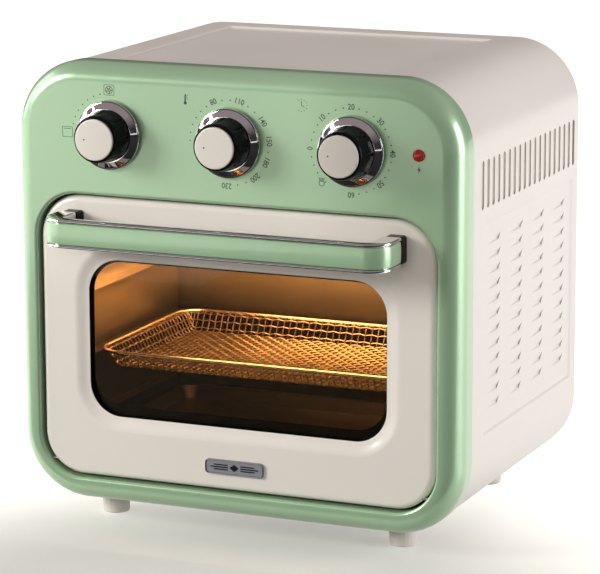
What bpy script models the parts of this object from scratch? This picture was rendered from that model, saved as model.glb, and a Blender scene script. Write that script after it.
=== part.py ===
"""Countertop toaster oven with a top fan: an assembly of separate parts, in metres, +Z up.

The row frame's origin is on the table, under the middle of the whole object, handle included.
The front looks along -Y. A depth is measured back from the front frame's face, and a height
is measured up from the table.
"""

import math

import bmesh
import bpy
from mathutils import Matrix, Vector

# Driving dimensions of the whole oven
BODY_WIDTH = 0.330
FRAME_HEIGHT = 0.311
BODY_DEPTH = 0.2474
FRAME_DEPTH = 0.0254
OUTER_RADIUS = 0.0486
FOOT_HEIGHT = 0.016
HANDLE_REACH = 0.0385
GAP = 0.0003
SHEET = 0.0012
REAR_DEPTH = 0.2412
CORNER_STEPS = 8

# The frame's face stands so that the whole depth, handle included, is centred on y = 0.
FACE_Y = (HANDLE_REACH - BODY_DEPTH) / 2
FRAME_CENTRE_Z = FOOT_HEIGHT + FRAME_HEIGHT / 2
CASING_INSET = 0.001
CORD_X = 0.105
CORD_Z = FOOT_HEIGHT + 0.034

# Door
DOOR_WIDTH = 0.2941
DOOR_BOTTOM = FOOT_HEIGHT + 0.0186
DOOR_TOP = FOOT_HEIGHT + 0.218
DOOR_HEIGHT = DOOR_TOP - DOOR_BOTTOM
DOOR_CENTRE_Z = (DOOR_TOP + DOOR_BOTTOM) / 2
DOOR_RADIUS = 0.0295
DOOR_FRONT = 0.0029
DOOR_GAP = 0.0016
DOOR_WALL = 0.0010
HINGE_DEPTH = DOOR_FRONT + 0.0024
HINGE_Z = DOOR_BOTTOM + 0.0095
PIN_RADIUS = 0.0010
PIN_INNER_X = 0.120
PIN_OUTER_X = 0.1486
WINDOW_WIDTH = 0.2233
WINDOW_HEIGHT = 0.112
WINDOW_CENTRE_Z = FOOT_HEIGHT + 0.1183
WINDOW_RADIUS = 0.0238
GLASS_FRONT = 0.0071
GLASS_THICKNESS = 0.0032

# Handle
HANDLE_LENGTH = 0.254
HANDLE_HEIGHT = 0.020
HANDLE_CENTRE_Z = FOOT_HEIGHT + 0.1986
HANDLE_THICKNESS = 0.008
HANDLE_BEND = 0.016
HANDLE_END_WIDTH = 0.0135
HANDLE_END_DEPTH = -0.009
BAND_HEIGHT = 0.0145
BAND_THICKNESS = 0.0014
SCREW_HOLE_RADIUS = 0.0021

# Controls
KNOB_SPACING = 0.0895
KNOB_MIDDLE = -0.0011
KNOB_Z = FOOT_HEIGHT + 0.2625
SKIRT_RADIUS = 0.0239
CAP_RADIUS = 0.0142
KNOB_REACH = 0.0252
SHAFT_RADIUS = 0.003
LAMP_X = 0.1357
LAMP_RADIUS = 0.00415
CONTROLS = (
    ("function", KNOB_MIDDLE - KNOB_SPACING),
    ("temperature", KNOB_MIDDLE),
    ("timer", KNOB_MIDDLE + KNOB_SPACING),
)

# Cavity
CAVITY_WIDTH = 0.2624
CAVITY_FLOOR = FOOT_HEIGHT + 0.032
CAVITY_ROOF = FOOT_HEIGHT + 0.223
CAVITY_FRONT = 0.0202
CAVITY_BACK = 0.190
MOUTH_WIDTH = 0.256
MOUTH_HEIGHT = 0.172
MOUTH_Z = FOOT_HEIGHT + 0.120
BASKET_WIDTH = 0.240
BASKET_LENGTH = 0.152
BASKET_FRONT = 0.027
BASKET_RIM_Z = FOOT_HEIGHT + 0.104
BASKET_DROP = 0.0150
FAN_DEPTH = 0.105
GUARD_Z = FOOT_HEIGHT + 0.1985

# Feet
FOOT_RADIUS = 0.010
FOOT_X = 0.110
FOOT_DEPTHS = (("front", 0.040), ("rear", 0.212))
SIDES = (("left", -1), ("right", 1))


def at(x, depth, z):
    """A point from a depth behind the front face and a height above the table."""
    return Vector((x, FACE_Y + depth, z))


def clear_scene():
    for obj in list(bpy.data.objects):
        bpy.data.objects.remove(obj, do_unlink=True)


def paint(name, colour, roughness, metallic=0.0, alpha=1.0):
    """A plain Principled material, made once and shared by name."""
    found = bpy.data.materials.get(name)
    if found:
        return found
    made = bpy.data.materials.new(name)
    made.use_nodes = True
    shader = made.node_tree.nodes["Principled BSDF"]
    shader.inputs["Base Color"].default_value = (*colour, 1.0)
    shader.inputs["Roughness"].default_value = roughness
    shader.inputs["Metallic"].default_value = metallic
    shader.inputs["Alpha"].default_value = alpha
    made.diffuse_color = (*colour, alpha)
    return made


def sage():
    return paint("sage_enamel", (0.40, 0.60, 0.43), 0.22)


def cream():
    return paint("cream_enamel", (0.72, 0.69, 0.63), 0.35)


def chrome():
    return paint("chrome_plate", (0.80, 0.80, 0.81), 0.08, 1.0)


def black_plastic():
    return paint("black_plastic", (0.015, 0.015, 0.016), 0.25)


def steel():
    return paint("bright_steel", (0.56, 0.55, 0.53), 0.32, 1.0)


def put(name, bm, material, origin=(0, 0, 0)):
    """Turns a bmesh in world coordinates into a named object with its origin at origin."""
    bmesh.ops.remove_doubles(bm, verts=bm.verts, dist=1e-7)
    bmesh.ops.recalc_face_normals(bm, faces=bm.faces)
    bmesh.ops.translate(bm, verts=bm.verts, vec=-Vector(origin))
    mesh = bpy.data.meshes.new(name)
    bm.to_mesh(mesh)
    bm.free()
    mesh.shade_smooth()
    mesh.set_sharp_from_angle(angle=math.radians(32))
    mesh.materials.append(material)
    obj = bpy.data.objects.new(name, mesh)
    obj.location = origin
    bpy.context.scene.collection.objects.link(obj)
    return obj


def rounded(width, height, radius, centre, normal="Y"):
    """A rounded rectangle's points round centre, facing along Y (width by height) or Z."""
    points = []
    for turn, (sx, sy) in enumerate(((1, 1), (-1, 1), (-1, -1), (1, -1))):
        cx = sx * (width / 2 - radius)
        cy = sy * (height / 2 - radius)
        for step in range(CORNER_STEPS + 1):
            angle = math.radians(90 * (turn + step / CORNER_STEPS))
            u = cx + radius * math.cos(angle)
            v = cy + radius * math.sin(angle)
            offset = Vector((u, 0, v)) if normal == "Y" else Vector((u, v, 0))
            points.append(Vector(centre) + offset)
    return points


def stack(loops, ring):
    """Skins loops of equal length in order. A ring joins the last to the first, else both are capped."""
    bm = bmesh.new()
    rows = [[bm.verts.new(p) for p in loop] for loop in loops]
    pairs = list(zip(rows, rows[1:]))
    if ring:
        pairs.append((rows[-1], rows[0]))
    else:
        bm.faces.new(rows[0])
        bm.faces.new(list(reversed(rows[-1])))
    for low, high in pairs:
        for i in range(len(low)):
            j = (i + 1) % len(low)
            bm.faces.new((low[j], low[i], high[i], high[j]))
    return bm


def block(low, high, bevel=0.0):
    """A box between two corners, with its edges rounded if bevel is given."""
    bm = bmesh.new()
    bmesh.ops.create_cube(bm, size=1.0)
    size = Vector(high) - Vector(low)
    middle = (Vector(high) + Vector(low)) / 2
    bmesh.ops.scale(bm, verts=bm.verts, vec=size)
    bmesh.ops.translate(bm, verts=bm.verts, vec=middle)
    if bevel:
        bmesh.ops.bevel(bm, geom=bm.edges[:], offset=bevel, segments=2, affect="EDGES", profile=0.5)
    return bm


def turned(profile, centre, steps=24, axis="Y"):
    """Turns (radius, distance) points round an axis through centre; distance runs along +axis."""
    bm = bmesh.new()
    rows = []
    for radius, along in profile:
        if radius < 1e-9:
            rows.append([bm.verts.new((0, 0, along))])
            continue
        angles = [2 * math.pi * i / steps for i in range(steps)]
        rows.append([bm.verts.new((radius * math.cos(a), radius * math.sin(a), along)) for a in angles])
    closed = profile[0][0] > 1e-9
    pairs = list(zip(rows, rows[1:]))
    if closed:
        pairs.append((rows[-1], rows[0]))
    for low, high in pairs:
        for i in range(steps):
            j = (i + 1) % steps
            corners = [low[i % len(low)], low[j % len(low)], high[j % len(high)], high[i % len(high)]]
            corners = list(dict.fromkeys(corners))
            bm.faces.new(corners)
    if axis == "Y":
        bmesh.ops.rotate(bm, verts=bm.verts, matrix=Matrix.Rotation(math.radians(-90), 3, "X"))
    if axis == "X":
        bmesh.ops.rotate(bm, verts=bm.verts, matrix=Matrix.Rotation(math.radians(90), 3, "Y"))
    bmesh.ops.translate(bm, verts=bm.verts, vec=Vector(centre))
    return bm


def extruded(outline, low, high):
    """Extrudes an (x, z) outline along Y from depth low to depth high."""
    loops = [[at(x, depth, z) for x, z in outline] for depth in (low, high)]
    return stack(loops, ring=False)


def cutter(bm, name):
    """A hidden wire body for a Boolean."""
    obj = put(name, bm, steel())
    obj.hide_render = True
    obj.display_type = "WIRE"
    return obj


def cut(obj, bm, label):
    """Takes a closed body, or several that don't touch, out of obj."""
    tool = cutter(bm, f"cut_{obj.name}_{label}")
    modifier = obj.modifiers.new(label, "BOOLEAN")
    modifier.operation = "DIFFERENCE"
    modifier.solver = "EXACT"
    modifier.object = tool


def merged(bodies):
    """Several bmeshes as one."""
    whole = bmesh.new()
    for bm in bodies:
        mesh = bpy.data.meshes.new("part")
        bm.to_mesh(mesh)
        bm.free()
        whole.from_mesh(mesh)
        bpy.data.meshes.remove(mesh)
    return whole


def rod(radius, length, centre, axis="Y", steps=16):
    """A plain round bar centred on a point, for cutting holes."""
    half = length / 2
    return turned([(0, -half), (radius, -half), (radius, half), (0, half)], centre, steps, axis)


def frame_loop(inset, depth, extra_radius=0.0):
    """The oven's outer outline, moved in by inset, at a depth."""
    return rounded(
        BODY_WIDTH - 2 * inset,
        FRAME_HEIGHT - 2 * inset,
        OUTER_RADIUS - inset + extra_radius,
        at(0, depth, FRAME_CENTRE_Z),
    )


def door_loop(grow, depth):
    """The door's outline, grown by grow, at a depth."""
    return rounded(
        DOOR_WIDTH + 2 * grow,
        DOOR_HEIGHT + 2 * grow,
        DOOR_RADIUS + grow,
        at(0, depth, DOOR_CENTRE_Z),
    )


def window_loop(grow, depth):
    """The window's outline, grown by grow, at a depth."""
    return rounded(
        WINDOW_WIDTH + 2 * grow,
        WINDOW_HEIGHT + 2 * grow,
        WINDOW_RADIUS + grow,
        at(0, depth, WINDOW_CENTRE_Z),
    )


def front_frame():
    """Moulded front frame: rounded outside edge, flat face, and a lip round the door opening."""
    wall = 0.0022
    edge_inset = 0.0125
    edge_depth = 0.016
    lip_radius = 0.0022
    lip_depth = 0.015
    arc = [math.radians(90 * i / 5) for i in range(6)]
    loops = [frame_loop(0, FRAME_DEPTH)]
    loops += [frame_loop(edge_inset * (1 - math.cos(a)), edge_depth * (1 - math.sin(a))) for a in arc]
    lip = [math.radians(90 * i / 3) for i in range(4)]
    loops += [
        door_loop(DOOR_GAP + lip_radius * (1 - math.sin(a)), lip_radius * (1 - math.cos(a)))
        for a in lip
    ]
    loops += [door_loop(DOOR_GAP, lip_depth), door_loop(DOOR_GAP + wall * 0.8, lip_depth)]
    loops.append(door_loop(DOOR_GAP + wall * 0.8, wall * 1.4))
    loops += [frame_loop(edge_inset + 0.0002, wall), frame_loop(0.0054, 0.0064)]
    loops.append(frame_loop(wall * 1.3, edge_depth * 0.72))
    loops += [frame_loop(wall, edge_depth), frame_loop(wall, FRAME_DEPTH)]
    obj = put("front_frame", stack(loops, ring=True), sage())
    holes = [rod(0.005, 0.01, at(x, 0, KNOB_Z)) for _, x in CONTROLS]
    holes.append(rod(0.0036, 0.01, at(LAMP_X, 0, KNOB_Z)))
    cut(obj, merged(holes), "shaft_holes")
    lip_x = 0.1422
    pin_holes = [
        rod(PIN_RADIUS + 2 * GAP, 0.012, at(side * lip_x, HINGE_DEPTH, HINGE_Z), "X", 12) for _, side in SIDES
    ]
    cut(obj, merged(pin_holes), "hinge_holes")


def casing_section(inset):
    """Half turn of the casing's section, from its left lower lip round the top to the right one."""
    radius = OUTER_RADIUS - CASING_INSET - inset
    half_width = BODY_WIDTH / 2 - CASING_INSET - inset
    top = FOOT_HEIGHT + FRAME_HEIGHT - CASING_INSET - inset
    bottom = FOOT_HEIGHT + CASING_INSET + inset
    lip_x = 0.098
    corners = (
        (-half_width + radius, bottom + radius, 270, 180),
        (-half_width + radius, top - radius, 180, 90),
        (half_width - radius, top - radius, 90, 0),
        (half_width - radius, bottom + radius, 0, -90),
    )
    points = [(-lip_x, bottom)]
    for cx, cz, start, stop in corners:
        for step in range(CORNER_STEPS + 1):
            angle = math.radians(start + (stop - start) * step / CORNER_STEPS)
            points.append((cx + radius * math.cos(angle), cz + radius * math.sin(angle)))
    points.append((lip_x, bottom))
    return points


def casing_shell():
    """Folded steel wrap: top, sides and turned-under lower corners, with vent slots high on each side."""
    outline = casing_section(0) + list(reversed(casing_section(SHEET)))
    obj = put("casing_shell", extruded(outline, FRAME_DEPTH + GAP, BODY_DEPTH), cream())
    slot_count = 19
    slot_width = 0.004
    slot_height = 0.034
    first_slot = 0.0455
    slot_pitch = 0.0106
    slot_z = FOOT_HEIGHT + 0.237
    reach = BODY_WIDTH / 2
    for name, side in SIDES:
        slots = []
        for i in range(slot_count):
            depth = first_slot + i * slot_pitch
            low = at(side * reach - 0.004, depth - slot_width / 2, slot_z - slot_height / 2)
            high = at(side * reach + 0.004, depth + slot_width / 2, slot_z + slot_height / 2)
            slots.append(block(low, high))
        cut(obj, merged(slots), f"slots_{name}")


def base_plate():
    """Steel floor of the oven, inside the casing's lips, with air slots."""
    low = FOOT_HEIGHT + CASING_INSET + SHEET + GAP
    half = 0.114
    obj = put(
        "base_plate",
        block(at(-half, FRAME_DEPTH + 0.003, low), at(half, 0.2405, low + SHEET)),
        steel(),
    )
    slots = []
    for row in range(2):
        for i in range(6):
            x = -0.075 + 0.030 * i
            depth = 0.085 + 0.075 * row
            front = at(x - 0.002, depth - 0.020, low - 0.010)
            back = at(x + 0.002, depth + 0.020, low + 0.010)
            slots.append(block(front, back))
    cut(obj, merged(slots), "air_slots")


def rear_panel():
    """Steel back, set in from the casing's rear edge, with air slots and a hole for the cord gland."""
    depth = REAR_DEPTH
    inset = CASING_INSET + SHEET + GAP
    loops = [frame_loop(inset, depth), frame_loop(inset, depth + SHEET)]
    obj = put("rear_panel", stack(loops, ring=False), cream())
    slots = []
    for row in range(3):
        for i in range(9):
            x = -0.088 + 0.022 * i
            z = FOOT_HEIGHT + 0.235 + 0.016 * row
            left = at(x - 0.008, depth - 0.005, z - 0.002)
            right = at(x + 0.008, depth + 0.005, z + 0.002)
            slots.append(block(left, right))
    cut(obj, merged(slots), "air_slots")
    holes = [rod(0.0019, 0.01, p, "Y", 12) for _, p in rear_screw_places(depth)]
    holes.append(rod(0.0076, 0.01, at(CORD_X, depth, CORD_Z), "Y", 20))
    cut(obj, merged(holes), "round_holes")


def rear_screw_places(depth):
    places = []
    for name, side in SIDES:
        for level, z in (("lower", 0.060), ("upper", 0.288)):
            places.append((f"{level}_{name}", at(side * 0.140, depth, FOOT_HEIGHT + z)))
    return places


def rear_screws():
    """Pan-head screws of the rear panel."""
    for name, place in rear_screw_places(REAR_DEPTH + SHEET + GAP):
        profile = [(0, -0.008), (0.0015, -0.008), (0.0015, 0), (0.0034, 0), (0.0030, 0.0013), (0, 0.0019)]
        put(f"rear_screw_{name}", turned(profile, place, 12), steel(), place)


def cord_gland():
    """Strain-relief bush in the rear panel, with the bore that the mains cord passes."""
    profile = [(0.0036, -0.008), (0.0071, -0.008), (0.0071, 0.0002), (0.0105, 0.0002), (0.0098, 0.0022)]
    profile += [(0.0062, 0.0046), (0.0036, 0.0046)]
    place = at(CORD_X, REAR_DEPTH + SHEET + GAP, CORD_Z)
    put("cord_gland", turned(profile, place, 20), black_plastic(), place)


def cavity_liner():
    """Bright steel box, open at the front, with a flange behind the door opening."""
    width = CAVITY_WIDTH
    middle = (CAVITY_FLOOR + CAVITY_ROOF) / 2
    height = CAVITY_ROOF - CAVITY_FLOOR
    corner = 0.006

    def loop(grow, depth):
        return rounded(width + 2 * grow, height + 2 * grow, corner + grow, at(0, depth, middle))

    flange_outer = [
        rounded(0.290, 0.2145, 0.026, at(0, depth, FOOT_HEIGHT + 0.12375))
        for depth in (CAVITY_FRONT, CAVITY_FRONT + SHEET)
    ]
    mouth = [
        rounded(MOUTH_WIDTH, MOUTH_HEIGHT, 0.010, at(0, depth, MOUTH_Z))
        for depth in (CAVITY_FRONT + SHEET, CAVITY_FRONT)
    ]
    loops = [loop(-SHEET, CAVITY_BACK - SHEET), loop(-SHEET, CAVITY_FRONT + SHEET)]
    loops += [*mouth, *flange_outer, loop(0, CAVITY_FRONT + SHEET), loop(0, CAVITY_BACK)]
    obj = put("cavity_liner", stack(loops, ring=False), steel())
    hole = rod(0.006, 0.01, at(0, FAN_DEPTH, CAVITY_ROOF), "Z")
    posts = [rod(0.0042, 0.01, at(x, FAN_DEPTH + 0.072, CAVITY_ROOF), "Z", 12) for x in (-0.012, 0.012)]
    cut(obj, merged([hole, *posts]), "roof_holes")


def rack_rails():
    """Side runners: a steel strip on each cavity wall with three ledges folded inward."""
    wall_x = CAVITY_WIDTH / 2 - SHEET - GAP
    ledge = 0.0105
    thick = 0.001
    levels = [BASKET_RIM_Z - 0.0028 - GAP + 0.045 * i for i in (-1, 0, 1)]
    low = levels[0] - 0.010
    high = levels[-1] + 0.012
    for name, side in SIDES:
        inner = wall_x - thick
        points = [(side * wall_x, low), (side * inner, low)]
        for z in levels:
            points += [(side * inner, z - thick), (side * (wall_x - ledge), z - thick)]
            points += [(side * (wall_x - ledge), z), (side * inner, z)]
        points += [(side * inner, high), (side * wall_x, high)]
        bm = extruded(points, CAVITY_FRONT + 0.004, CAVITY_BACK - SHEET - 0.004)
        put(f"rack_rail_{name}", bm, steel())


def tray_loops(width, length, radius, centre_depth, floor, top, lip, slope, thick):
    """Loops of a pressed tray with an outward lip, bottom outside first."""
    def loop(grow, z, corner):
        return rounded(width + 2 * grow, length + 2 * grow, corner, at(0, centre_depth, z), "Z")

    return [
        loop(-slope, floor, radius),
        loop(0, top - thick, radius + slope),
        loop(lip, top - thick, radius + slope + lip),
        loop(lip, top, radius + slope + lip),
        loop(-thick, top, radius + slope - thick),
        loop(-slope - thick, floor + thick, radius - thick),
    ]


def wire_basket():
    """Frying basket as a closed tray of its true outer shape, with the rim that rides on the rails."""
    rim_drop = 0.0028
    lip = 0.006
    width = BASKET_WIDTH - 2 * lip
    length = BASKET_LENGTH - 2 * lip
    centre = BASKET_FRONT + BASKET_LENGTH / 2
    loops = tray_loops(
        width, length, 0.020, centre, BASKET_RIM_Z - BASKET_DROP, BASKET_RIM_Z, lip, 0.007, rim_drop
    )
    put("wire_basket", stack(loops, ring=False), steel())


def crumb_tray():
    """Shallow pressed tray that lies on the cavity floor."""
    floor = CAVITY_FLOOR + SHEET + GAP
    centre = (CAVITY_FRONT + CAVITY_BACK) / 2 + 0.001
    loops = tray_loops(0.246, 0.154, 0.010, centre, floor, floor + 0.010, 0.004, 0.004, 0.001)
    put("crumb_tray", stack(loops, ring=False), steel())


def heater_guard():
    """Perforated pan under the cavity roof, which keeps hands off the heater and the fan."""
    centre = at(0, FAN_DEPTH, 0)
    top = CAVITY_ROOF - SHEET - GAP
    thick = 0.001

    def loop(size, z, corner):
        return rounded(size, size * 0.76, corner, (0, centre.y, z), "Z")

    loops = [loop(0.200, GUARD_Z, 0.016), loop(0.206, top, 0.019)]
    loops += [loop(0.204, top, 0.018), loop(0.198, GUARD_Z + thick, 0.015)]
    obj = put("heater_guard", stack(loops, ring=False), steel())
    slots = []
    for i in range(11):
        x = -0.075 + 0.015 * i
        low = (x - 0.0035, centre.y - 0.055, GUARD_Z - 0.002)
        high = (x + 0.0035, centre.y + 0.055, GUARD_Z + 0.004)
        slots.append(block(low, high))
    cut(obj, merged(slots), "air_slots")


def heater_coil():
    """Tubular heating element bent round the fan, with both ends rising through the roof."""
    ring_radius = 0.066
    level = GUARD_Z + 0.0115
    ends_x = 0.012
    opening = math.asin(ends_x / ring_radius)
    curve = bpy.data.curves.new("heater_coil", "CURVE")
    curve.dimensions = "3D"
    curve.bevel_depth = 0.0032
    curve.bevel_resolution = 2
    curve.use_fill_caps = True
    centre = at(0, FAN_DEPTH, level)
    ring = []
    steps = 36
    for i in range(steps + 1):
        angle = math.pi / 2 + opening + (2 * math.pi - 2 * opening) * i / steps
        ring.append(centre + Vector((ring_radius * math.cos(angle), ring_radius * math.sin(angle), 0)))
    rise = 0.028
    legs = []
    for x in (-ends_x, ends_x):
        legs.append([at(x, FAN_DEPTH + 0.0705, level + 0.002), at(x, FAN_DEPTH + 0.072, level + 0.006),
                     at(x, FAN_DEPTH + 0.072, level + rise)])
    points = list(reversed(legs[0])) + ring + legs[1]
    spline = curve.splines.new("POLY")
    spline.points.add(len(points) - 1)
    for point, place in zip(spline.points, points):
        point.co = (*place, 1.0)
    obj = bpy.data.objects.new("heater_coil", curve)
    curve.materials.append(paint("heater_sheath", (0.10, 0.09, 0.09), 0.5, 0.6))
    bpy.context.scene.collection.objects.link(obj)


def fan_motor():
    """Shaded-pole motor can over the cavity roof, on a folded bracket."""
    foot = CAVITY_ROOF + GAP
    top = foot + 0.012
    centre = at(0, FAN_DEPTH, top + SHEET + GAP)
    profile = [(0.0038, 0), (0.026, 0), (0.030, 0.003), (0.030, 0.030), (0.026, 0.033), (0.0038, 0.033)]
    put("fan_motor", turned(profile, centre, 28, "Z"), steel(), centre)
    half = 0.042
    depth = 0.020
    outline = [(-half - 0.014, foot), (-half, foot), (-half, top), (half, top), (half, foot)]
    outline += [(half + 0.014, foot), (half + 0.014, foot + SHEET), (half + SHEET, foot + SHEET)]
    outline += [(half + SHEET, top + SHEET), (-half - SHEET, top + SHEET)]
    outline += [(-half - SHEET, foot + SHEET), (-half - 0.014, foot + SHEET)]
    bracket = put("motor_bracket", extruded(outline, FAN_DEPTH - depth, FAN_DEPTH + depth), steel())
    cut(bracket, rod(0.005, 0.01, at(0, FAN_DEPTH, top), "Z"), "shaft_hole")


def fan_rotor():
    """Motor shaft, and the stamped radial fan on its lower end."""
    place = at(0, FAN_DEPTH, GUARD_Z + 0.006)
    top = CAVITY_ROOF + 0.030 - place.z
    shaft = [(0, -0.001), (0.0025, -0.001), (0.0025, top), (0, top)]
    put("fan_shaft", turned(shaft, place, 12, "Z"), steel(), place)
    blades = 8
    hub = turned([(0.0029, 0), (0.009, 0), (0.009, 0.010), (0.0029, 0.010)], place, 24, "Z")
    disc = turned([(0.0029, 0.0092), (0.052, 0.0092), (0.052, 0.0104), (0.0029, 0.0104)], place, 32, "Z")
    obj = put("fan_blade", disc, steel(), place)
    parts = [hub]
    for i in range(blades):
        vane = block((0.016, -0.0006, 0.0004), (0.050, 0.0006, 0.0098))
        turn = Matrix.Rotation(2 * math.pi * i / blades, 4, "Z")
        bmesh.ops.transform(vane, matrix=Matrix.Translation(place) @ turn, verts=vane.verts)
        parts.append(vane)
    tool = cutter(merged(parts), "join_fan_blade_vanes")
    modifier = obj.modifiers.new("vanes", "BOOLEAN")
    modifier.operation = "UNION"
    modifier.solver = "EXACT"
    modifier.object = tool


def door_skin():
    """Painted steel door front: rounded edge, dished in round the window, rim turned back."""
    edge = 0.0045
    wall = DOOR_WALL
    dish_width = 0.010
    dish = 0.0024
    rim_depth = 0.0140
    arc = [math.radians(90 * i / 4) for i in range(5)]
    loops = [door_loop(0, rim_depth)]
    loops += [door_loop(-edge * (1 - math.cos(a)), DOOR_FRONT + edge * (1 - math.sin(a))) for a in arc]
    steps = 3
    for i in range(steps + 1):
        share = i / steps
        depth = DOOR_FRONT + dish * (1 - math.cos(math.pi * share)) / 2
        loops.append(window_loop(dish_width * (1 - share), depth))
    loops.append(window_loop(0, DOOR_FRONT + dish + wall))
    loops.append(window_loop(dish_width + 0.002, DOOR_FRONT + wall + 0.0002))
    loops.append(door_loop(-edge - 0.0003, DOOR_FRONT + wall))
    loops.append(door_loop(-wall, DOOR_FRONT + edge))
    loops.append(door_loop(-wall, rim_depth))
    place = at(0, HINGE_DEPTH, HINGE_Z)
    obj = put("door_skin", stack(loops, ring=True), cream(), place)
    edge_x = 0.1377
    edge_holes = [
        rod(PIN_RADIUS + GAP, 0.0106, at(side * edge_x, HINGE_DEPTH, HINGE_Z), "X", 12) for _, side in SIDES
    ]
    cut(obj, merged(edge_holes), "pin_holes")
    handle_holes = [
        rod(SCREW_HOLE_RADIUS, 0.004, at(x, DOOR_FRONT, HANDLE_CENTRE_Z), "Y", 12) for x in mount_places()
    ]
    cut(obj, merged(handle_holes), "handle_holes")


def mount_places():
    """Middle of each handle mount across the door."""
    reach = HANDLE_LENGTH / 2 - HANDLE_END_WIDTH / 2 - 0.0005
    return (-reach, reach)


def door_glass():
    """Tempered pane behind the window."""
    loops = [window_loop(0.007, GLASS_FRONT), window_loop(0.007, GLASS_FRONT + GLASS_THICKNESS)]
    place = at(0, HINGE_DEPTH, HINGE_Z)
    put("door_glass", stack(loops, ring=False), paint("clear_glass", (0.8, 0.8, 0.78), 0.02, 0, 0.3), place)


def door_inner_frame():
    """Pressed steel frame that closes the door's back and clamps the pane."""
    front = GLASS_FRONT + GLASS_THICKNESS + GAP
    wall = 0.0012
    rear = 0.0150
    inner = -0.0018
    loops = [door_loop(-0.0018, rear), door_loop(-0.0018, front + 0.0016), door_loop(-0.010, front + 0.0016)]
    loops += [window_loop(0.010, front), window_loop(inner, front), window_loop(inner, front + wall)]
    loops += [window_loop(0.010, front + wall), door_loop(-0.010, front + 0.0016 + wall)]
    loops += [door_loop(-0.0018 - wall, front + 0.0016 + wall), door_loop(-0.0018 - wall, rear)]
    place = at(0, HINGE_DEPTH, HINGE_Z)
    put("door_inner_frame", stack(loops, ring=True), steel(), place)


def door_gasket():
    """Silicone seal on the door's back, round the cavity mouth."""
    front = GLASS_FRONT + GLASS_THICKNESS + GAP + 0.0016 + SHEET + GAP
    rear = 0.0190
    inner = 0.0020
    outer = 0.0070
    section = ((outer, front), (outer, rear - 0.001), (outer - 0.0015, rear), (inner + 0.0015, rear))
    section += ((inner, rear - 0.001), (inner, front))
    loops = []
    for grow, depth in section:
        place = at(0, depth, MOUTH_Z)
        loops.append(rounded(MOUTH_WIDTH + 2 * grow, MOUTH_HEIGHT + 2 * grow, 0.010 + grow, place))
    silicone = paint("grey_silicone", (0.16, 0.16, 0.16), 0.7)
    put("door_gasket", stack(loops, ring=True), silicone, at(0, HINGE_DEPTH, HINGE_Z))


def hinge_hardware():
    """A pin out of each lower corner of the door, and the fixed bracket that it turns in."""
    bracket_x = 0.1464
    bracket_front = 0.0039
    bracket_rear = 0.036
    below_pin = 0.0020
    above_pin = 0.0034
    for name, side in SIDES:
        place = at(side * (PIN_INNER_X + PIN_OUTER_X) / 2, HINGE_DEPTH, HINGE_Z)
        half = (PIN_OUTER_X - PIN_INNER_X) / 2
        profile = [(0, -half), (PIN_RADIUS, -half), (PIN_RADIUS, half), (0, half)]
        put(f"hinge_pin_{name}", turned(profile, place, 12, "X"), steel(), place)
        near = side * bracket_x
        far = side * (bracket_x + SHEET)
        low = at(min(near, far), bracket_front, HINGE_Z - below_pin)
        high = at(max(near, far), bracket_rear, HINGE_Z + above_pin)
        obj = put(f"hinge_bracket_{name}", block(low, high), steel())
        hole = rod(PIN_RADIUS + GAP, 0.02, at(near, HINGE_DEPTH, HINGE_Z), "X", 12)
        cut(obj, hole, "pin_hole")


def handle_path(inset, corner, steps):
    """Plan outline, left end to right end, of the handle's outside moved in by inset."""
    half = HANDLE_LENGTH / 2 - inset
    front = -HANDLE_REACH + inset
    radius = corner - inset
    points = [(-half, HANDLE_END_DEPTH)]
    for cx, start, stop in ((-half + radius, 180, 270), (half - radius, 270, 360)):
        for i in range(steps + 1):
            angle = math.radians(start + (stop - start) * i / steps)
            points.append((cx + radius * math.cos(angle), front + radius + radius * math.sin(angle)))
    points.append((half, HANDLE_END_DEPTH))
    return points


def plate(outline, low, high):
    """Raises an (x, depth) plan outline from height low to height high."""
    loops = [[at(x, depth, z) for x, depth in outline] for z in (low, high)]
    return stack(loops, ring=False)


def door_handle():
    """Plated bar bent back at both ends, with a painted band let into its front."""
    steps = 8
    place = at(0, HINGE_DEPTH, HINGE_Z)
    inner_half = HANDLE_LENGTH / 2 - HANDLE_END_WIDTH
    inner_front = -HANDLE_REACH + HANDLE_THICKNESS
    inner_radius = 0.006
    outline = handle_path(0, HANDLE_BEND, steps)
    inside = [(inner_half, HANDLE_END_DEPTH)]
    for cx, start, stop in ((inner_half - inner_radius, 0, -90), (-inner_half + inner_radius, -90, -180)):
        for i in range(4):
            angle = math.radians(start + (stop - start) * i / 3)
            across = cx + inner_radius * math.cos(angle)
            inside.append((across, inner_front + inner_radius + inner_radius * math.sin(angle)))
    inside.append((-inner_half, HANDLE_END_DEPTH))
    low = HANDLE_CENTRE_Z - HANDLE_HEIGHT / 2
    high = HANDLE_CENTRE_Z + HANDLE_HEIGHT / 2
    bar = put("handle_bar", plate(outline + inside, low, high), chrome(), place)
    groove = BAND_THICKNESS + GAP
    clear_of_bar = -0.003
    paths = []
    for inset in (clear_of_bar, groove):
        path = handle_path(inset, HANDLE_BEND, steps)
        path[0] = (path[0][0], 0.0)
        path[-1] = (path[-1][0], 0.0)
        paths.append(path)
    low = HANDLE_CENTRE_Z - BAND_HEIGHT / 2
    high = HANDLE_CENTRE_Z + BAND_HEIGHT / 2
    cut(bar, plate(paths[0] + list(reversed(paths[1])), low - GAP, high + GAP), "band_groove")
    recess = 0.0004
    front = handle_path(recess, HANDLE_BEND, steps)
    rear = handle_path(BAND_THICKNESS, HANDLE_BEND, steps)
    put("handle_band", plate(front + list(reversed(rear)), low, high), sage(), place)


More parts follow.
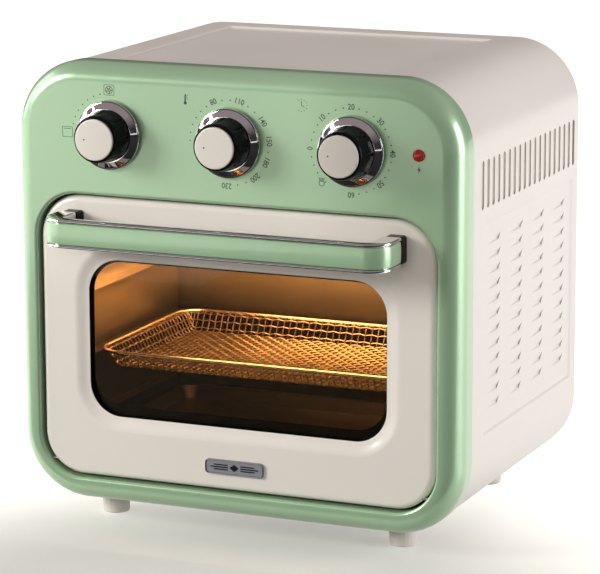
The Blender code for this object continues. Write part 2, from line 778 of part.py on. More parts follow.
def handle_mounts():
    """Black foot between each handle end and the door."""
    for (name, _), x in zip(SIDES, mount_places()):
        low = at(x - 0.0066, HANDLE_END_DEPTH + GAP, HANDLE_CENTRE_Z - 0.0095)
        high = at(x + 0.0066, DOOR_FRONT - GAP, HANDLE_CENTRE_Z + 0.0095)
        place = at(0, HINGE_DEPTH, HINGE_Z)
        obj = put(f"handle_mount_{name}", block(low, high, 0.0012), black_plastic(), place)
        cut(obj, rod(SCREW_HOLE_RADIUS, 0.03, at(x, DOOR_FRONT, HANDLE_CENTRE_Z), "Y", 12), "screw_hole")


def handle_screws():
    """Screw from inside the door through each mount towards the handle's end."""
    head_depth = DOOR_FRONT + DOOR_WALL + GAP
    tip = HANDLE_END_DEPTH + GAP - head_depth
    for (name, _), x in zip(SIDES, mount_places()):
        place = at(x, head_depth, HANDLE_CENTRE_Z)
        profile = [(0, tip), (0.0016, tip), (0.0016, 0), (0.0036, 0), (0.0032, 0.0018), (0, 0.0022)]
        put(f"handle_screw_{name}", turned(profile, place, 12), steel(), at(0, HINGE_DEPTH, HINGE_Z))


def badge_plate():
    """Small cast plate under the window, left blank."""
    centre_z = FOOT_HEIGHT + 0.0356
    rear = DOOR_FRONT - GAP
    loops = [rounded(0.044, 0.0105, 0.0025, at(0, rear, centre_z))]
    loops.append(rounded(0.044, 0.0105, 0.0025, at(0, rear - 0.0012, centre_z)))
    loops.append(rounded(0.0432, 0.0097, 0.0021, at(0, rear - 0.0016, centre_z)))
    place = at(0, HINGE_DEPTH, HINGE_Z)
    put("badge_plate", stack(loops, ring=False), paint("pewter", (0.30, 0.30, 0.31), 0.35, 1.0), place)


def knob(name, x):
    """A control knob: spindle, plated skirt, fluted black grip and cream cap with a pointer dot."""
    place = at(x, 0, KNOB_Z)
    spindle = [(0, -0.0058), (SHAFT_RADIUS, -0.0058), (SHAFT_RADIUS, 0.022), (0, 0.022)]
    put(f"{name}_spindle", turned(spindle, place, 16), steel(), place)
    skirt = [(0.0045, -0.0016), (0.0226, -0.0012), (SKIRT_RADIUS, -0.0022), (SKIRT_RADIUS - 0.0002, -0.0034)]
    skirt += [(0.0205, -0.0056), (0.0185, -0.0062), (0.0045, -0.0062)]
    put(f"{name}_skirt", turned(skirt, place, 32), chrome(), place)
    grip = [(0, -0.0065), (0.0182, -0.0065), (0.0180, -0.0090), (0.0164, -0.0205), (0.0156, -0.0230)]
    grip += [(CAP_RADIUS + 0.0006, -0.0236), (0, -0.0236)]
    put(f"{name}_grip", turned(grip, place, 32), black_plastic(), place)
    cap = [(0, -0.0239), (CAP_RADIUS, -0.0239), (CAP_RADIUS - 0.0006, -KNOB_REACH), (0, -KNOB_REACH)]
    obj = put(f"{name}_cap", turned(cap, place, 32), cream(), place)
    dot = rod(0.0009, 0.001, at(x - CAP_RADIUS / 2, -KNOB_REACH, KNOB_Z), "Y", 10)
    cut(obj, dot, "pointer_dot")


def control_gear():
    """Steel bracket behind the panel, and the three rotary units on it."""
    front = 0.0100
    low = at(-0.126, front, FOOT_HEIGHT + 0.2400)
    high = at(0.126, front + SHEET, FOOT_HEIGHT + 0.2870)
    bracket = put("control_bracket", block(low, high), steel())
    cut(bracket, merged([rod(0.0048, 0.01, at(x, front, KNOB_Z)) for _, x in CONTROLS]), "spindle_holes")
    units = (
        ("mode_switch", KNOB_MIDDLE - KNOB_SPACING, 0.0175, 0.024),
        ("thermostat", KNOB_MIDDLE, 0.0200, 0.022),
        ("timer_unit", KNOB_MIDDLE + KNOB_SPACING, 0.0220, 0.028),
    )
    body = front + SHEET + GAP
    for name, x, half, length in units:
        corner_low = at(x - half, body, KNOB_Z - half)
        corner_high = at(x + half, body + length, KNOB_Z + half)
        obj = put(name, block(corner_low, corner_high, 0.0015), paint("phenolic", (0.32, 0.24, 0.15), 0.6))
        cut(obj, rod(SHAFT_RADIUS + GAP, 0.030, at(x, body, KNOB_Z)), "spindle_bore")
    bell = [(0, 0), (0.003, 0), (0.016, 0.002), (0.018, 0.008), (0.017, 0.008), (0.015, 0.0032), (0, 0.0020)]
    place = at(KNOB_MIDDLE + KNOB_SPACING, body + 0.028 + 0.0005, KNOB_Z)
    put("timer_bell", turned(bell, place, 24), steel(), place)


def indicator():
    """Red lens in the panel, and the neon lamp behind it."""
    place = at(LAMP_X, 0, KNOB_Z)
    lens = [(0, -0.0018), (0.0030, -0.0016), (LAMP_RADIUS, -0.0008), (LAMP_RADIUS, -GAP)]
    lens += [(0.0032, -GAP), (0.0032, 0.0050), (0, 0.0050)]
    put("indicator_lens", turned(lens, place, 24), paint("red_lens", (0.45, 0.02, 0.02), 0.1), place)
    lamp = [(0, 0.0056), (0.0022, 0.0056), (0.0022, 0.016), (0.0014, 0.018), (0, 0.018)]
    put("indicator_lamp", turned(lamp, place, 12), paint("neon_bulb", (0.8, 0.3, 0.15), 0.1), place)


def feet():
    """Four moulded feet under the casing's corners."""
    for level, depth in FOOT_DEPTHS:
        for name, side in SIDES:
            place = at(side * FOOT_X, depth, 0)
            top = FOOT_HEIGHT + CASING_INSET - GAP
            profile = [(0, 0), (FOOT_RADIUS - 0.0008, 0), (FOOT_RADIUS - 0.0004, 0.0008)]
            profile += [(FOOT_RADIUS, top), (0, top)]
            put(f"foot_{level}_{name}", turned(profile, place, 24, "Z"), cream(), place)


def main():
    clear_scene()
    front_frame()
    casing_shell()
    base_plate()
    rear_panel()
    rear_screws()
    cord_gland()
    cavity_liner()
    rack_rails()
    wire_basket()
    crumb_tray()
    heater_guard()
    heater_coil()
    fan_motor()
    fan_rotor()
    door_skin()
    door_glass()
    door_inner_frame()
    door_gasket()
    hinge_hardware()
    door_handle()
    handle_mounts()
    handle_screws()
    badge_plate()
    for name, x in CONTROLS:
        knob(name, x)
    control_gear()
    indicator()
    feet()


main()
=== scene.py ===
import math

import bmesh
import bpy
from mathutils import Matrix, Vector


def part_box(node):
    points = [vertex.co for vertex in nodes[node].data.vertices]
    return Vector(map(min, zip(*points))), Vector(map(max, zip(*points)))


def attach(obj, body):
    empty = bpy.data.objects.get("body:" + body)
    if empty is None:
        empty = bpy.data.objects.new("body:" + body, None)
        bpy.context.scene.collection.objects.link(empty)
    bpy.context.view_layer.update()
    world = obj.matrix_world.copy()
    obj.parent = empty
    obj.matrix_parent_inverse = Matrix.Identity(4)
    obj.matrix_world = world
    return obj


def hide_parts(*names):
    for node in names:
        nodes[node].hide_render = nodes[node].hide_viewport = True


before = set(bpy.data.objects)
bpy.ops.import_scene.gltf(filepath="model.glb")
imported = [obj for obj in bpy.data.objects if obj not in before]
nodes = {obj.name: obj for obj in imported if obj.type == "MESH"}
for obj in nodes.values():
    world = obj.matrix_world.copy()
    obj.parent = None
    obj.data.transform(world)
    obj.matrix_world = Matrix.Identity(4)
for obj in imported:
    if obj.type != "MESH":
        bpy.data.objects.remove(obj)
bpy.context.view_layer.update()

scene = bpy.context.scene


# ---------------------------------------------------------------- Camera
# A long lens a little above the oven and to its right, level but for a trace of roll.
# Depths are measured back from the front frame's face, heights up from its lower edge.
frame_low, frame_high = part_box("front_frame")
half_width = frame_high.x
frame_height = frame_high.z - frame_low.z


def at(x, depth, height):
    """A point from its place across, its depth behind the front face and its height in the frame."""
    return Vector((x, frame_low.y + depth, frame_low.z + height))


camera_data = bpy.data.cameras.new("studio_camera")
camera_data.sensor_width = 36.0
camera_data.lens = 189.11
camera_data.clip_end = 20.0
camera = bpy.data.objects.new("studio_camera", camera_data)
camera.location = at(0.868076, -1.905569, 0.608512)
camera_aim = at(0.050459, 0.0, 0.167567)
camera_roll = Matrix.Rotation(-0.003, 3, "Z")
looking = (camera_aim - camera.location).to_track_quat("-Z", "Y").to_matrix()
camera.rotation_euler = (looking @ camera_roll).to_euler()
scene.collection.objects.link(camera)
scene.camera = camera
scene.view_settings.view_transform = "Standard"


# ---------------------------------------------------------------- Table and studio light
# A white laminate table top with no edge in sight, lit by a softbox on each side, a key light from
# the front left, one from above the rear, a broad front fill, and a faint even sky. A dark card in
# front of the set gives the chrome its black reflections.
def linear(code):
    """An sRGB hex colour as linear RGBA."""
    parts = [int(code[i:i + 2], 16) / 255 for i in (1, 3, 5)]
    return tuple(c / 12.92 if c <= 0.04045 else ((c + 0.055) / 1.055) ** 2.4 for c in parts) + (1.0,)


def add(tree, kind, inputs=None, colours=(), **settings):
    """Adds one node with its settings. inputs holds a value or a socket to link for each input, and
    colours the two ends of a colour ramp."""
    made = tree.nodes.new("ShaderNode" + kind)
    for name, value in settings.items():
        setattr(made, name, value)
    for socket, value in (inputs or {}).items():
        if isinstance(value, bpy.types.NodeSocket):
            tree.links.new(value, made.inputs[socket])
        else:
            made.inputs[socket].default_value = value
    for end, colour in enumerate(colours):
        made.color_ramp.elements[end].color = linear(colour)
    return made


def new_material(name):
    """A node material, its tree, and the socket that gives a place on the object in metres."""
    material = bpy.data.materials.new(name)
    material.use_nodes = True
    tree = material.node_tree
    tree.nodes.clear()
    return material, tree, add(tree, "TexCoord").outputs["Object"]


def finish(tree, **traits):
    """Ends a material with its shader, from traits such as Base_Color, and its output."""
    shader = add(tree, "BsdfPrincipled", {trait.replace("_", " "): value for trait, value in traits.items()})
    add(tree, "OutputMaterial", {"Surface": shader.outputs["BSDF"]})


def shade(piece, sharp_angle):
    """Smooths a piece's shading but for its sharp edges, and keeps its flat faces even."""
    piece.data.shade_smooth()
    piece.data.set_sharp_from_angle(angle=math.radians(sharp_angle))
    even = piece.modifiers.new("even_shading", "WEIGHTED_NORMAL")
    even.keep_sharp = True


def make_object(name, points, faces, material, sharp_angle=35):
    """A smooth-shaded mesh object with its faces turned outwards."""
    built = bmesh.new()
    corners = [built.verts.new(p) for p in points]
    for face in faces:
        built.faces.new([corners[i] for i in face])
    bmesh.ops.recalc_face_normals(built, faces=built.faces)
    mesh = bpy.data.meshes.new(name)
    built.to_mesh(mesh)
    built.free()
    mesh.materials.append(material)
    made = bpy.data.objects.new(name, mesh)
    scene.collection.objects.link(made)
    shade(made, sharp_angle)
    return made


def mottled(
    name, dark, pale, patch, detail=2.0, roughness=0.5, spread=(0.0, 1.0), relief=None, grit=0.5, **traits
):
    """A finish that drifts between two colours in patches of a size in millimetres, or of three sizes for
    a drawn grain. roughness is one value, or a (low, high) pair over the spread of the drift. relief is
    (millimetres, strength, depth), and grit its noise's own roughness. traits go to the shader."""
    material, tree, place = new_material(name)
    scale = 1.0 if isinstance(patch, tuple) else 1000 / patch
    if isinstance(patch, tuple):
        place = add(tree, "Mapping", {"Vector": place, "Scale": [1000 / size for size in patch]}).outputs[0]
    drift = add(tree, "TexNoise", {"Vector": place, "Scale": scale, "Detail": detail})
    tone = add(tree, "ValToRGB", {"Fac": drift.outputs["Fac"]}, (dark, pale))
    traits["Base_Color"] = tone.outputs["Color"]
    if isinstance(roughness, tuple):
        gloss = add(tree, "MapRange", {
            "Value": drift.outputs["Fac"], "From Min": spread[0], "From Max": spread[1],
            "To Min": roughness[0], "To Max": roughness[1],
        })
        roughness = gloss.outputs["Result"]
    if relief:
        size, strength, depth = relief
        bumps = drift
        if size != patch:
            bumps = add(tree, "TexNoise", {"Vector": place, "Scale": 1000 / size, "Roughness": grit})
        height = bumps.outputs["Fac"]
        raised = add(tree, "Bump", {"Height": height, "Strength": strength, "Distance": depth})
        traits["Normal"] = raised.outputs["Normal"]
    finish(tree, Roughness=roughness, **traits)
    return material


# White laminate: soft satin, with a faint cloudiness under the surface. Its glow falls off towards a spot in
# front of the oven: a painted shadow pool round the set.
laminate, tree, place = new_material("white_laminate")
cloud = add(tree, "TexNoise", {"Vector": place, "Scale": 3.0, "Detail": 3.0})
tone = add(tree, "ValToRGB", {"Fac": cloud.outputs["Fac"]}, ("#bdbbb5", "#c3c1bb"))
# Painted shadow: the glow is turned down to a quarter round a point just in front of the oven and rises to
# full strength 0.42 m from it.
shadow_pool_middle = add(tree, "Mapping", {
    "Vector": place, "Location": (-0.05, 0.27, 0.0), "Scale": (1.0, 1.0, 0.0),
})
away = add(tree, "VectorMath", {0: shadow_pool_middle.outputs["Vector"]}, operation="LENGTH")
painted_shadow_pool = add(tree, "MapRange", {
    "Value": away.outputs["Value"], "From Min": 0.16, "From Max": 0.42, "To Min": 0.24, "To Max": 1.0,
}, interpolation_type="SMOOTHSTEP")
finish(
    tree, Base_Color=tone.outputs["Color"], Roughness=0.45, Specular_IOR_Level=0.2,
    Emission_Color=linear("#fbf9f2"), Emission_Strength=painted_shadow_pool.outputs["Result"],
)
reach = 9.0
table_corners = [(-reach, -reach, 0), (reach, -reach, 0), (reach, reach, 0), (-reach, reach, 0)]
table = make_object("table_top", table_corners, [(0, 1, 2, 3)], laminate)
table.visible_diffuse = False


def unseen_by(card, *rays):
    """Hides a stage card from some kinds of light ray."""
    for ray in rays:
        setattr(card, f"visible_{ray}", False)


# Black velvet, seen only in reflections: a sheet laid on the table in front of the set.
velvet = mottled("black_velvet", "#080808", "#121112", 2.5, roughness=1.0)
card_plan = [(-0.9, -0.16), (-0.9, -0.85), (-0.38, -0.85), (-0.38, -4), (4, -4), (4, -0.16)]
card = make_object("table_card", [(x, y, 0.0006) for x, y in card_plan], [tuple(range(6))], velvet)
unseen_by(card, "camera", "diffuse", "shadow", "transmission")

world = bpy.data.worlds.new("studio")
world.use_nodes = True
world.node_tree.nodes.clear()
tree = world.node_tree
ray = add(tree, "LightPath")
aim = add(tree, "TexCoord")
parts = add(tree, "SeparateXYZ", {"Vector": aim.outputs["Generated"]})
height = add(tree, "MapRange", {"Value": parts.outputs["Z"], "From Min": 0.15, "From Max": 0.5})
ceiling = add(tree, "Mix", {
    0: height.outputs["Result"], 6: linear("#3a3536"), 7: linear("#96898a"),
}, data_type="RGBA")
sky = add(tree, "Background", {"Color": linear("#fbf7f2"), "Strength": 0.22})
dark_room = add(tree, "Background", {"Color": ceiling.outputs[2], "Strength": 1.0})
backdrop = add(tree, "Background", {"Color": (1, 1, 1, 1), "Strength": 1.0})
room = add(tree, "MixShader", {
    0: ray.outputs["Is Glossy Ray"], 1: sky.outputs[0], 2: dark_room.outputs[0],
})
seen = add(tree, "MixShader", {
    0: ray.outputs["Is Camera Ray"], 1: room.outputs[0], 2: backdrop.outputs[0],
})
add(tree, "OutputWorld", {"Surface": seen.outputs[0]})
scene.world = world


def softbox(name, place, aim, width, height, power, tint, mirrored=True):
    """A rectangular area light aimed at a point."""
    data = bpy.data.lights.new(name, "AREA")
    data.shape = "RECTANGLE"
    data.size = width
    data.size_y = height
    data.energy = power
    data.color = linear(tint)[:3]
    lamp = bpy.data.objects.new(name, data)
    lamp.location = place
    lamp.rotation_euler = (Vector(aim) - Vector(place)).to_track_quat("-Z", "Y").to_euler()
    lamp.visible_glossy = mirrored
    lamp.visible_camera = False
    scene.collection.objects.link(lamp)
    return lamp


middle = at(0, 0.1, 0.15)
softbox("left_softbox", (-1.95, -0.10, 0.85), middle, 1.2, 1.4, 13, "#ffffff")
softbox("left_key", (-1.84, -1.54, 1.02), middle, 0.9, 0.9, 50, "#fffefb")
softbox("right_softbox", (1.9, 0.42, 0.55), middle, 0.9, 1.3, 30, "#fcfcff")
softbox("front_fill", (0.3, -2.4, 0.9), middle, 1.6, 1.2, 15, "#fffaf4", mirrored=False)
softbox("rear_key", (0.25, 1.9, 1.45), middle, 1.2, 0.8, 11, "#fffaf4", mirrored=False)

# A small velvet flag on a stand shades the key light off the right end of the control panel.
flag_plan = [(-0.072, 0.278), (0.02, 0.278), (0.02, 0.396), (-0.072, 0.396)]
flag = make_object("shade_flag", [at(x, -0.14, z) for x, z in flag_plan], [(0, 1, 2, 3)], velvet)
unseen_by(flag, "camera", "diffuse", "glossy", "transmission")


# ---------------------------------------------------------------- Casing
# One folded sheet of steel makes the top and both sides. It is pressed with a shallow tray in the
# top, a shallow panel and four columns of scoop louvres in each side, pierced with a row of upright
# slots, and powder-coated cream. Its front edge is rolled in behind the front frame.
def rounded_outline(width, height, radius, steps):
    """Points (across, up) of a rounded rectangle round the origin, anticlockwise from the right."""
    points = []
    for turn, (sx, sy) in enumerate(((1, 1), (-1, 1), (-1, -1), (1, -1))):
        cx = sx * (width / 2 - radius)
        cy = sy * (height / 2 - radius)
        for i in range(steps + 1):
            angle = math.radians(90 * (turn + i / steps))
            points.append((cx + radius * math.cos(angle), cy + radius * math.sin(angle)))
    return points


def skin(loops, ring=False, capped=True):
    """Faces between loops of equal length in order. A ring joins the last to the first."""
    count = len(loops[0])
    points = [p for loop in loops for p in loop]
    faces = []
    rows = len(loops)
    for row in range(rows if ring else rows - 1):
        nxt = (row + 1) % rows
        for i in range(count):
            j = (i + 1) % count
            faces.append((row * count + j, row * count + i, nxt * count + i, nxt * count + j))
    if not ring and capped:
        faces.append(tuple(range(count)))
        faces.append(tuple(reversed(range((rows - 1) * count, rows * count))))
    return points, faces


def smooth(t):
    """0 to 1 with level ends."""
    t = min(1.0, max(0.0, t))
    return t * t * (3 - 2 * t)


def cut_away(piece, points, faces):
    """Takes a closed shape out of a piece and leaves the result in its mesh."""
    tool = make_object("cutting_tool", points, faces, piece.data.materials[0])
    piece.modifiers.clear()
    modifier = piece.modifiers.new("cut", "BOOLEAN")
    modifier.operation = "DIFFERENCE"
    modifier.solver = "EXACT"
    modifier.object = tool
    bake_modifiers(piece)
    bpy.data.objects.remove(tool)


def bake_modifiers(piece, sharp_angle=35):
    """Writes what the modifiers make into the piece's own mesh."""
    bpy.context.view_layer.update()
    graph = bpy.context.evaluated_depsgraph_get()
    mesh = bpy.data.meshes.new_from_object(piece.evaluated_get(graph))
    piece.modifiers.clear()
    piece.data = mesh
    shade(piece, sharp_angle)


def together(shapes):
    """Several (points, faces) shapes as one."""
    points = []
    faces = []
    for some_points, some_faces in shapes:
        start = len(points)
        points += list(some_points)
        faces += [tuple(i + start for i in face) for face in some_faces]
    return points, faces


# Polyester powder coat over steel: warm white, satin, with the orange peel of a sprayed coat,
# drawn a little coarse at 1.6 mm so that it shows, and a faint drift in its tone.
powder_coat = mottled(
    "cream_powder_coat", "#e4dcd4", "#e9e2da", 111.1, 4.0, (0.30, 0.36), (0.3, 0.7), (1.6, 0.12, 0.0002), 0.4,
    IOR=1.5, Coat_Weight=0.15, Coat_Roughness=0.25,
)

casing_low, casing_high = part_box("casing_shell")
seam_width = 0.0018
casing_front = casing_low.y - frame_low.y + seam_width
casing_rear = casing_high.y - frame_low.y
casing_half = casing_high.x
casing_bottom = casing_low.z - frame_low.z
casing_top = casing_high.z - frame_low.z
casing_radius = 0.0476
casing_lip = 0.098
casing_sheet = 0.0008
roll = 0.0012

louvre_rows = 12
louvre_pitch = 0.01043
louvre_top_row = 0.1944
louvre_height = 0.0046
louvre_length = 0.0225
louvre_lean = 0.0044
louvre_depth = 0.0010
louvre_fronts = [0.0578 + 0.0453 * i for i in range(4)]
panel_low, panel_high = 0.0640, 0.2100
panel_front, panel_rear = 0.0500, 0.2350
panel_depth = 0.0010
tray_half = 0.1030
tray_front, tray_rear = 0.0440, 0.2265
tray_depth = 0.0015
step = 0.0016
border = (-step, -step / 2, 0.0, step / 2, step)


def inside(value, low, high):
    """How far into a pressed field a place is, from 0 outside to 1 inside its rounded step."""
    return smooth((value - low + step) / (2 * step)) * smooth((high + step - value) / (2 * step))


# Lines up the side: the panel's borders and seven lines in each louvre.
side_lines = [panel_low + b for b in border] + [panel_high + b for b in border]
for row in range(louvre_rows):
    foot = louvre_top_row - row * louvre_pitch
    side_lines += [foot + share * louvre_height for share in (-0.12, 0.0, 0.1, 0.3, 0.55, 0.8, 1.0)]
side_lines += [casing_bottom + casing_radius, casing_top - casing_radius, 0.2160, 0.2380]
side_lines.sort()

# Lines along the depth: the rolled edge, the borders, six lines in each louvre and two behind it.
depth_lines = [casing_front + roll * (1 - math.cos(math.radians(a))) for a in (0, 22, 45, 67, 90)]
depth_lines += [panel_front + b for b in border] + [panel_rear + b for b in border]
depth_lines += [tray_front + b for b in border] + [tray_rear + b for b in border]
louvre_shares = (0.0, 0.25, 0.5, 0.75, 0.92, 1.0)
slit = 0.0005
for front in louvre_fronts:
    depth_lines += [front + share * louvre_length for share in louvre_shares]
    depth_lines += [front + louvre_length + slit, front + louvre_length + 0.0085]
depth_lines += [casing_rear - 0.0030, casing_rear - 0.0004, casing_rear]
depth_lines = sorted(set(round(d, 6) for d in depth_lines))


def louvre_at(depth, height):
    """(share up the louvre, share along it, front of its column) or None between louvres."""
    row = round((louvre_top_row + louvre_height / 2 - height) / louvre_pitch)
    if not 0 <= row < louvre_rows:
        return None
    up = (height - louvre_top_row + row * louvre_pitch) / louvre_height
    if not -1e-6 <= up <= 1.0 + 1e-6:
        return None
    for front in louvre_fronts:
        along = (depth - front) / louvre_length
        if -1e-4 <= along <= 1.0 + (slit + 1e-5) / louvre_length:
            return up, along, front
    return None


def side_press(depth, height):
    """How far the side is pressed in, and how far a line leans back, at a place on it."""
    sunk = panel_depth * inside(depth, panel_front, panel_rear) * inside(height, panel_low, panel_high)
    lean = 0.0
    louvre = louvre_at(depth, height)
    if louvre:
        up, along, _ = louvre
        rise = smooth(up / 0.1) * smooth((1.0 - up) / 0.75)
        if along <= 1.0 + 1e-6:
            sunk += louvre_depth * rise * max(0.0, along) ** 0.8
        lean = louvre_lean * max(0.0, up) ** 1.4 * smooth((along - 0.5) / 0.5)
    return sunk, lean


def top_press(depth, across):
    return tray_depth * inside(depth, tray_front, tray_rear) * inside(across, -tray_half, tray_half)


def edge_roll(depth):
    """How far the sheet's front edge has rolled inwards."""
    share = (casing_front + roll - depth) / roll
    return 0.0 if share <= 0 else roll * (1 - math.sqrt(max(0.0, 1 - share * share)))


arc_steps = 16
arc_centre_x = casing_half - casing_radius


def corner(side, level, start):
    """Places round one rounded corner, clockwise from a start in degrees."""
    return [("arc", (side, level, start - 90 * i / arc_steps)) for i in range(arc_steps + 1)]


wall_lines = [z for z in side_lines if casing_bottom + casing_radius < z < casing_top - casing_radius]
tray_lines = [-tray_half + b for b in border] + [-0.05, 0.0, 0.05] + [tray_half + b for b in border]
stations = [("bottom", -casing_lip), ("bottom", -arc_centre_x + 0.006)] + corner(-1, -1, 270)
stations += [("left", z) for z in wall_lines] + corner(-1, 1, 180)
stations += [("top", x) for x in tray_lines] + corner(1, 1, 90)
stations += [("right", z) for z in reversed(wall_lines)] + corner(1, -1, 0)
stations += [("bottom", arc_centre_x - 0.006), ("bottom", casing_lip)]

points = []
for zone, where in stations:
    for depth in depth_lines:
        rolled = edge_roll(depth)
        if zone == "bottom":
            points.append(at(where, depth, casing_bottom + rolled))
        elif zone == "top":
            points.append(at(where, depth, casing_top - rolled - top_press(depth, where)))
        elif zone == "arc":
            side, level, degrees = where
            centre_z = casing_top - casing_radius if level > 0 else casing_bottom + casing_radius
            angle = math.radians(degrees)
            radius = casing_radius - rolled
            x = side * arc_centre_x + radius * math.cos(angle)
            points.append(at(x, depth, centre_z + radius * math.sin(angle)))
        else:
            side = -1 if zone == "left" else 1
            sunk, lean = side_press(depth, where)
            points.append(at(side * (casing_half - rolled - sunk), depth + lean, where))
faces = []
count = len(depth_lines)
for s in range(len(stations) - 1):
    for d in range(count - 1):
        zone, where = stations[s]
        next_zone, next_where = stations[s + 1]
        if zone == next_zone and zone in ("left", "right"):
            middle_height = (where + next_where) / 2
            here = louvre_at((depth_lines[d] + depth_lines[d + 1]) / 2, middle_height)
            if here and here[1] > 1.0 and 0.0 < here[0] < 1.0:
                continue
        faces.append((s * count + d, s * count + d + 1, (s + 1) * count + d + 1, (s + 1) * count + d))
casing = make_object("casing", points, faces, powder_coat)
casing.modifiers.clear()
thicken = casing.modifiers.new("sheet", "SOLIDIFY")
thicken.thickness = casing_sheet
thicken.offset = -1.0
bake_modifiers(casing)

slot_count = 19
slot_first, slot_pitch = 0.0456, 0.0106
slot_low, slot_high = 0.2203, 0.2535
slot_half = 0.0023
slots = []
for side in (-1, 1):
    for i in range(slot_count):
        centre = (slot_first + i * slot_pitch, (slot_low + slot_high) / 2)
        outline = rounded_outline(2 * slot_half, slot_high - slot_low, slot_half * 0.999, 6)
        slots.append(skin([
            [at(side * x, centre[0] + u, centre[1] + v) for u, v in outline]
            for x in (casing_half - 0.004, casing_half + 0.004)
        ]))
cut_away(casing, *together(slots))
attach(casing, "oven")
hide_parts("casing_shell")

# A flat shield of bright aluminised sheet stands just behind the slots and louvres of each side.
# Aluminised sheet: pale grey, dull, with a streak from rolling.
shield_metal = mottled("dulled_aluminised_sheet", "#bdb5a9", "#cbc4b8", (1.667, 40.0, 1.667), 3.0)
shield_in, shield_thick = 0.0036, 0.0005
shield_plan = [(0.034, 0.056), (0.238, 0.056), (0.238, 0.260), (0.034, 0.260)]
for side in (-1, 1):
    loops = [
        [at(side * (casing_half - inset), d, z) for d, z in shield_plan]
        for inset in (shield_in, shield_in + shield_thick)
    ]
    shield = make_object("side_shield_left" if side < 0 else "side_shield_right", *skin(loops), shield_metal)
    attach(shield, "oven")


# ---------------------------------------------------------------- Front frame
# A deep-drawn steel surround in sage stove enamel: its outer edge is rounded a full finger's width,
# its face is flat, and it turns in through a small radius to make the door's opening.
# Stove enamel: thick, glassy and even, with a hard gloss and a very slight orange peel.
ripple = (2.2, 0.04, 0.0001)
enamel = mottled(
    "sage_stove_enamel", "#a2c39f", "#a7c8a3", 71.43, 3.0, (0.285, 0.33), (0.3, 0.7), ripple,
    Metallic=0.32, IOR=1.52, Coat_Weight=0.6, Coat_Roughness=0.05,
)

frame_depth = frame_high.y - frame_low.y
frame_radius = 0.0486
edge_inset = 0.0125
edge_depth = 0.0160
frame_wall = 0.0022
door_low, door_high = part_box("door_skin")
door_width = door_high.x - door_low.x
door_height = door_high.z - door_low.z
door_centre = (door_high.z + door_low.z) / 2 - frame_low.z
door_radius = 0.0295
door_gap = 0.0016
lip_radius = 0.0022
lip_depth = 0.0150
corner_steps = 24


def outline_at(width, height, radius, grow, depth, middle):
    """A rounded outline parallel to the front, grown by grow, round a height."""
    outline = rounded_outline(width + 2 * grow, height + 2 * grow, radius + grow, corner_steps)
    return [at(x, depth, middle + z) for x, z in outline]


def frame_loop(inset, depth):
    """The oven's outer outline, moved in by inset."""
    return outline_at(2 * half_width, frame_height, frame_radius, -inset, depth, frame_height / 2)


def door_loop(grow, depth):
    """The door's outline, grown by grow."""
    return outline_at(door_width, door_height, door_radius, grow, depth, door_centre)


def quarter(steps):
    """Angles of a quarter turn."""
    return [math.radians(90 * i / steps) for i in range(steps + 1)]


def nested(edge, *places):
    """One outline at several (inset or growth, depth) places."""
    return [edge(*place) for place in places]


loops = nested(frame_loop, (0.0003, frame_depth), (0.0, frame_depth - 0.0004))
loops += [frame_loop(edge_inset * (1 - math.cos(a)), edge_depth * (1 - math.sin(a))) for a in quarter(16)]
loops += [frame_loop(edge_inset + 0.0004, 0.0), door_loop(door_gap + lip_radius + 0.0003, 0.0)]
for a in quarter(8):
    loops.append(door_loop(door_gap + lip_radius * (1 - math.sin(a)), lip_radius * (1 - math.cos(a))))
inner_grow = door_gap + frame_wall * 0.8
loops += nested(door_loop, (door_gap, lip_depth), (inner_grow, lip_depth), (inner_grow, frame_wall * 1.4))
loops += nested(
    frame_loop, (edge_inset + 0.0002, frame_wall), (0.0054, 0.0064), (frame_wall * 1.3, edge_depth * 0.72),
    (frame_wall, edge_depth), (frame_wall, frame_depth),
)
surround = make_object("front_surround", *skin(loops, ring=True), enamel)

knob_names = ("function", "temperature", "timer")
knob_centres = []
for name in knob_names:
    low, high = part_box(f"{name}_spindle")
    knob_centres.append(((low.x + high.x) / 2, (low.z + high.z) / 2 - frame_low.z))
lens_low, lens_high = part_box("indicator_lens")
lens_centre = ((lens_low.x + lens_high.x) / 2, (lens_low.z + lens_high.z) / 2 - frame_low.z)


def slab(outline, front, rear, middle=(0.0, 0.0)):
    """A flat (across, up) outline as a solid between two depths."""
    return skin([[at(middle[0] + x, depth, middle[1] + z) for x, z in outline] for depth in (front, rear)])


def disc(x, height, radius, front, rear, steps=32):
    """A round plug across the front, for a hole or a printed dot."""
    angles = [2 * math.pi * i / steps for i in range(steps)]
    return slab([(radius * math.cos(a), radius * math.sin(a)) for a in angles], front, rear, (x, height))


holes = [disc(x, z, 0.0050, -0.004, 0.006) for x, z in knob_centres]
holes.append(disc(*lens_centre, 0.0036, -0.004, 0.006))
cut_away(surround, *together(holes))
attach(surround, "oven")
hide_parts("front_frame")


# A black silicone bead fills the joint between the frame and the casing behind it.
# Silicone rubber: soft black, matt, with a little dust.
joint_rubber = mottled("black_silicone", "#0d0e0c", "#1a1b18", 1.667, 3.0, 0.7, Specular_IOR_Level=0.1)
bead_rear = frame_depth + 0.0003 + seam_width
loops = nested(
    frame_loop, (0.0010, frame_depth + 0.0001), (0.0007, (frame_depth + bead_rear) / 2), (0.0012, bead_rear),
    (0.0026, bead_rear), (0.0026, frame_depth + 0.0001),
)
bead_ring = make_object("casing_joint_bead", *skin(loops, ring=True), joint_rubber)
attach(bead_ring, "oven")


# ---------------------------------------------------------------- Printed scales
# Dots, figures and symbols screen-printed on the enamel in one dark grey-green ink, fired on,
# a few hundredths of a millimetre thick. Figures stand with their heads outwards round the dials.
ink = mottled("grey_green_ink", "#3c4a3c", "#4a5a49", 0.25, roughness=0.42)

ink_front, ink_rear = -0.00006, 0.0002
stroke = 0.00042
dial_radius = 0.0290
dot_radius = 0.00052
figure_size = 0.0056
prints = []


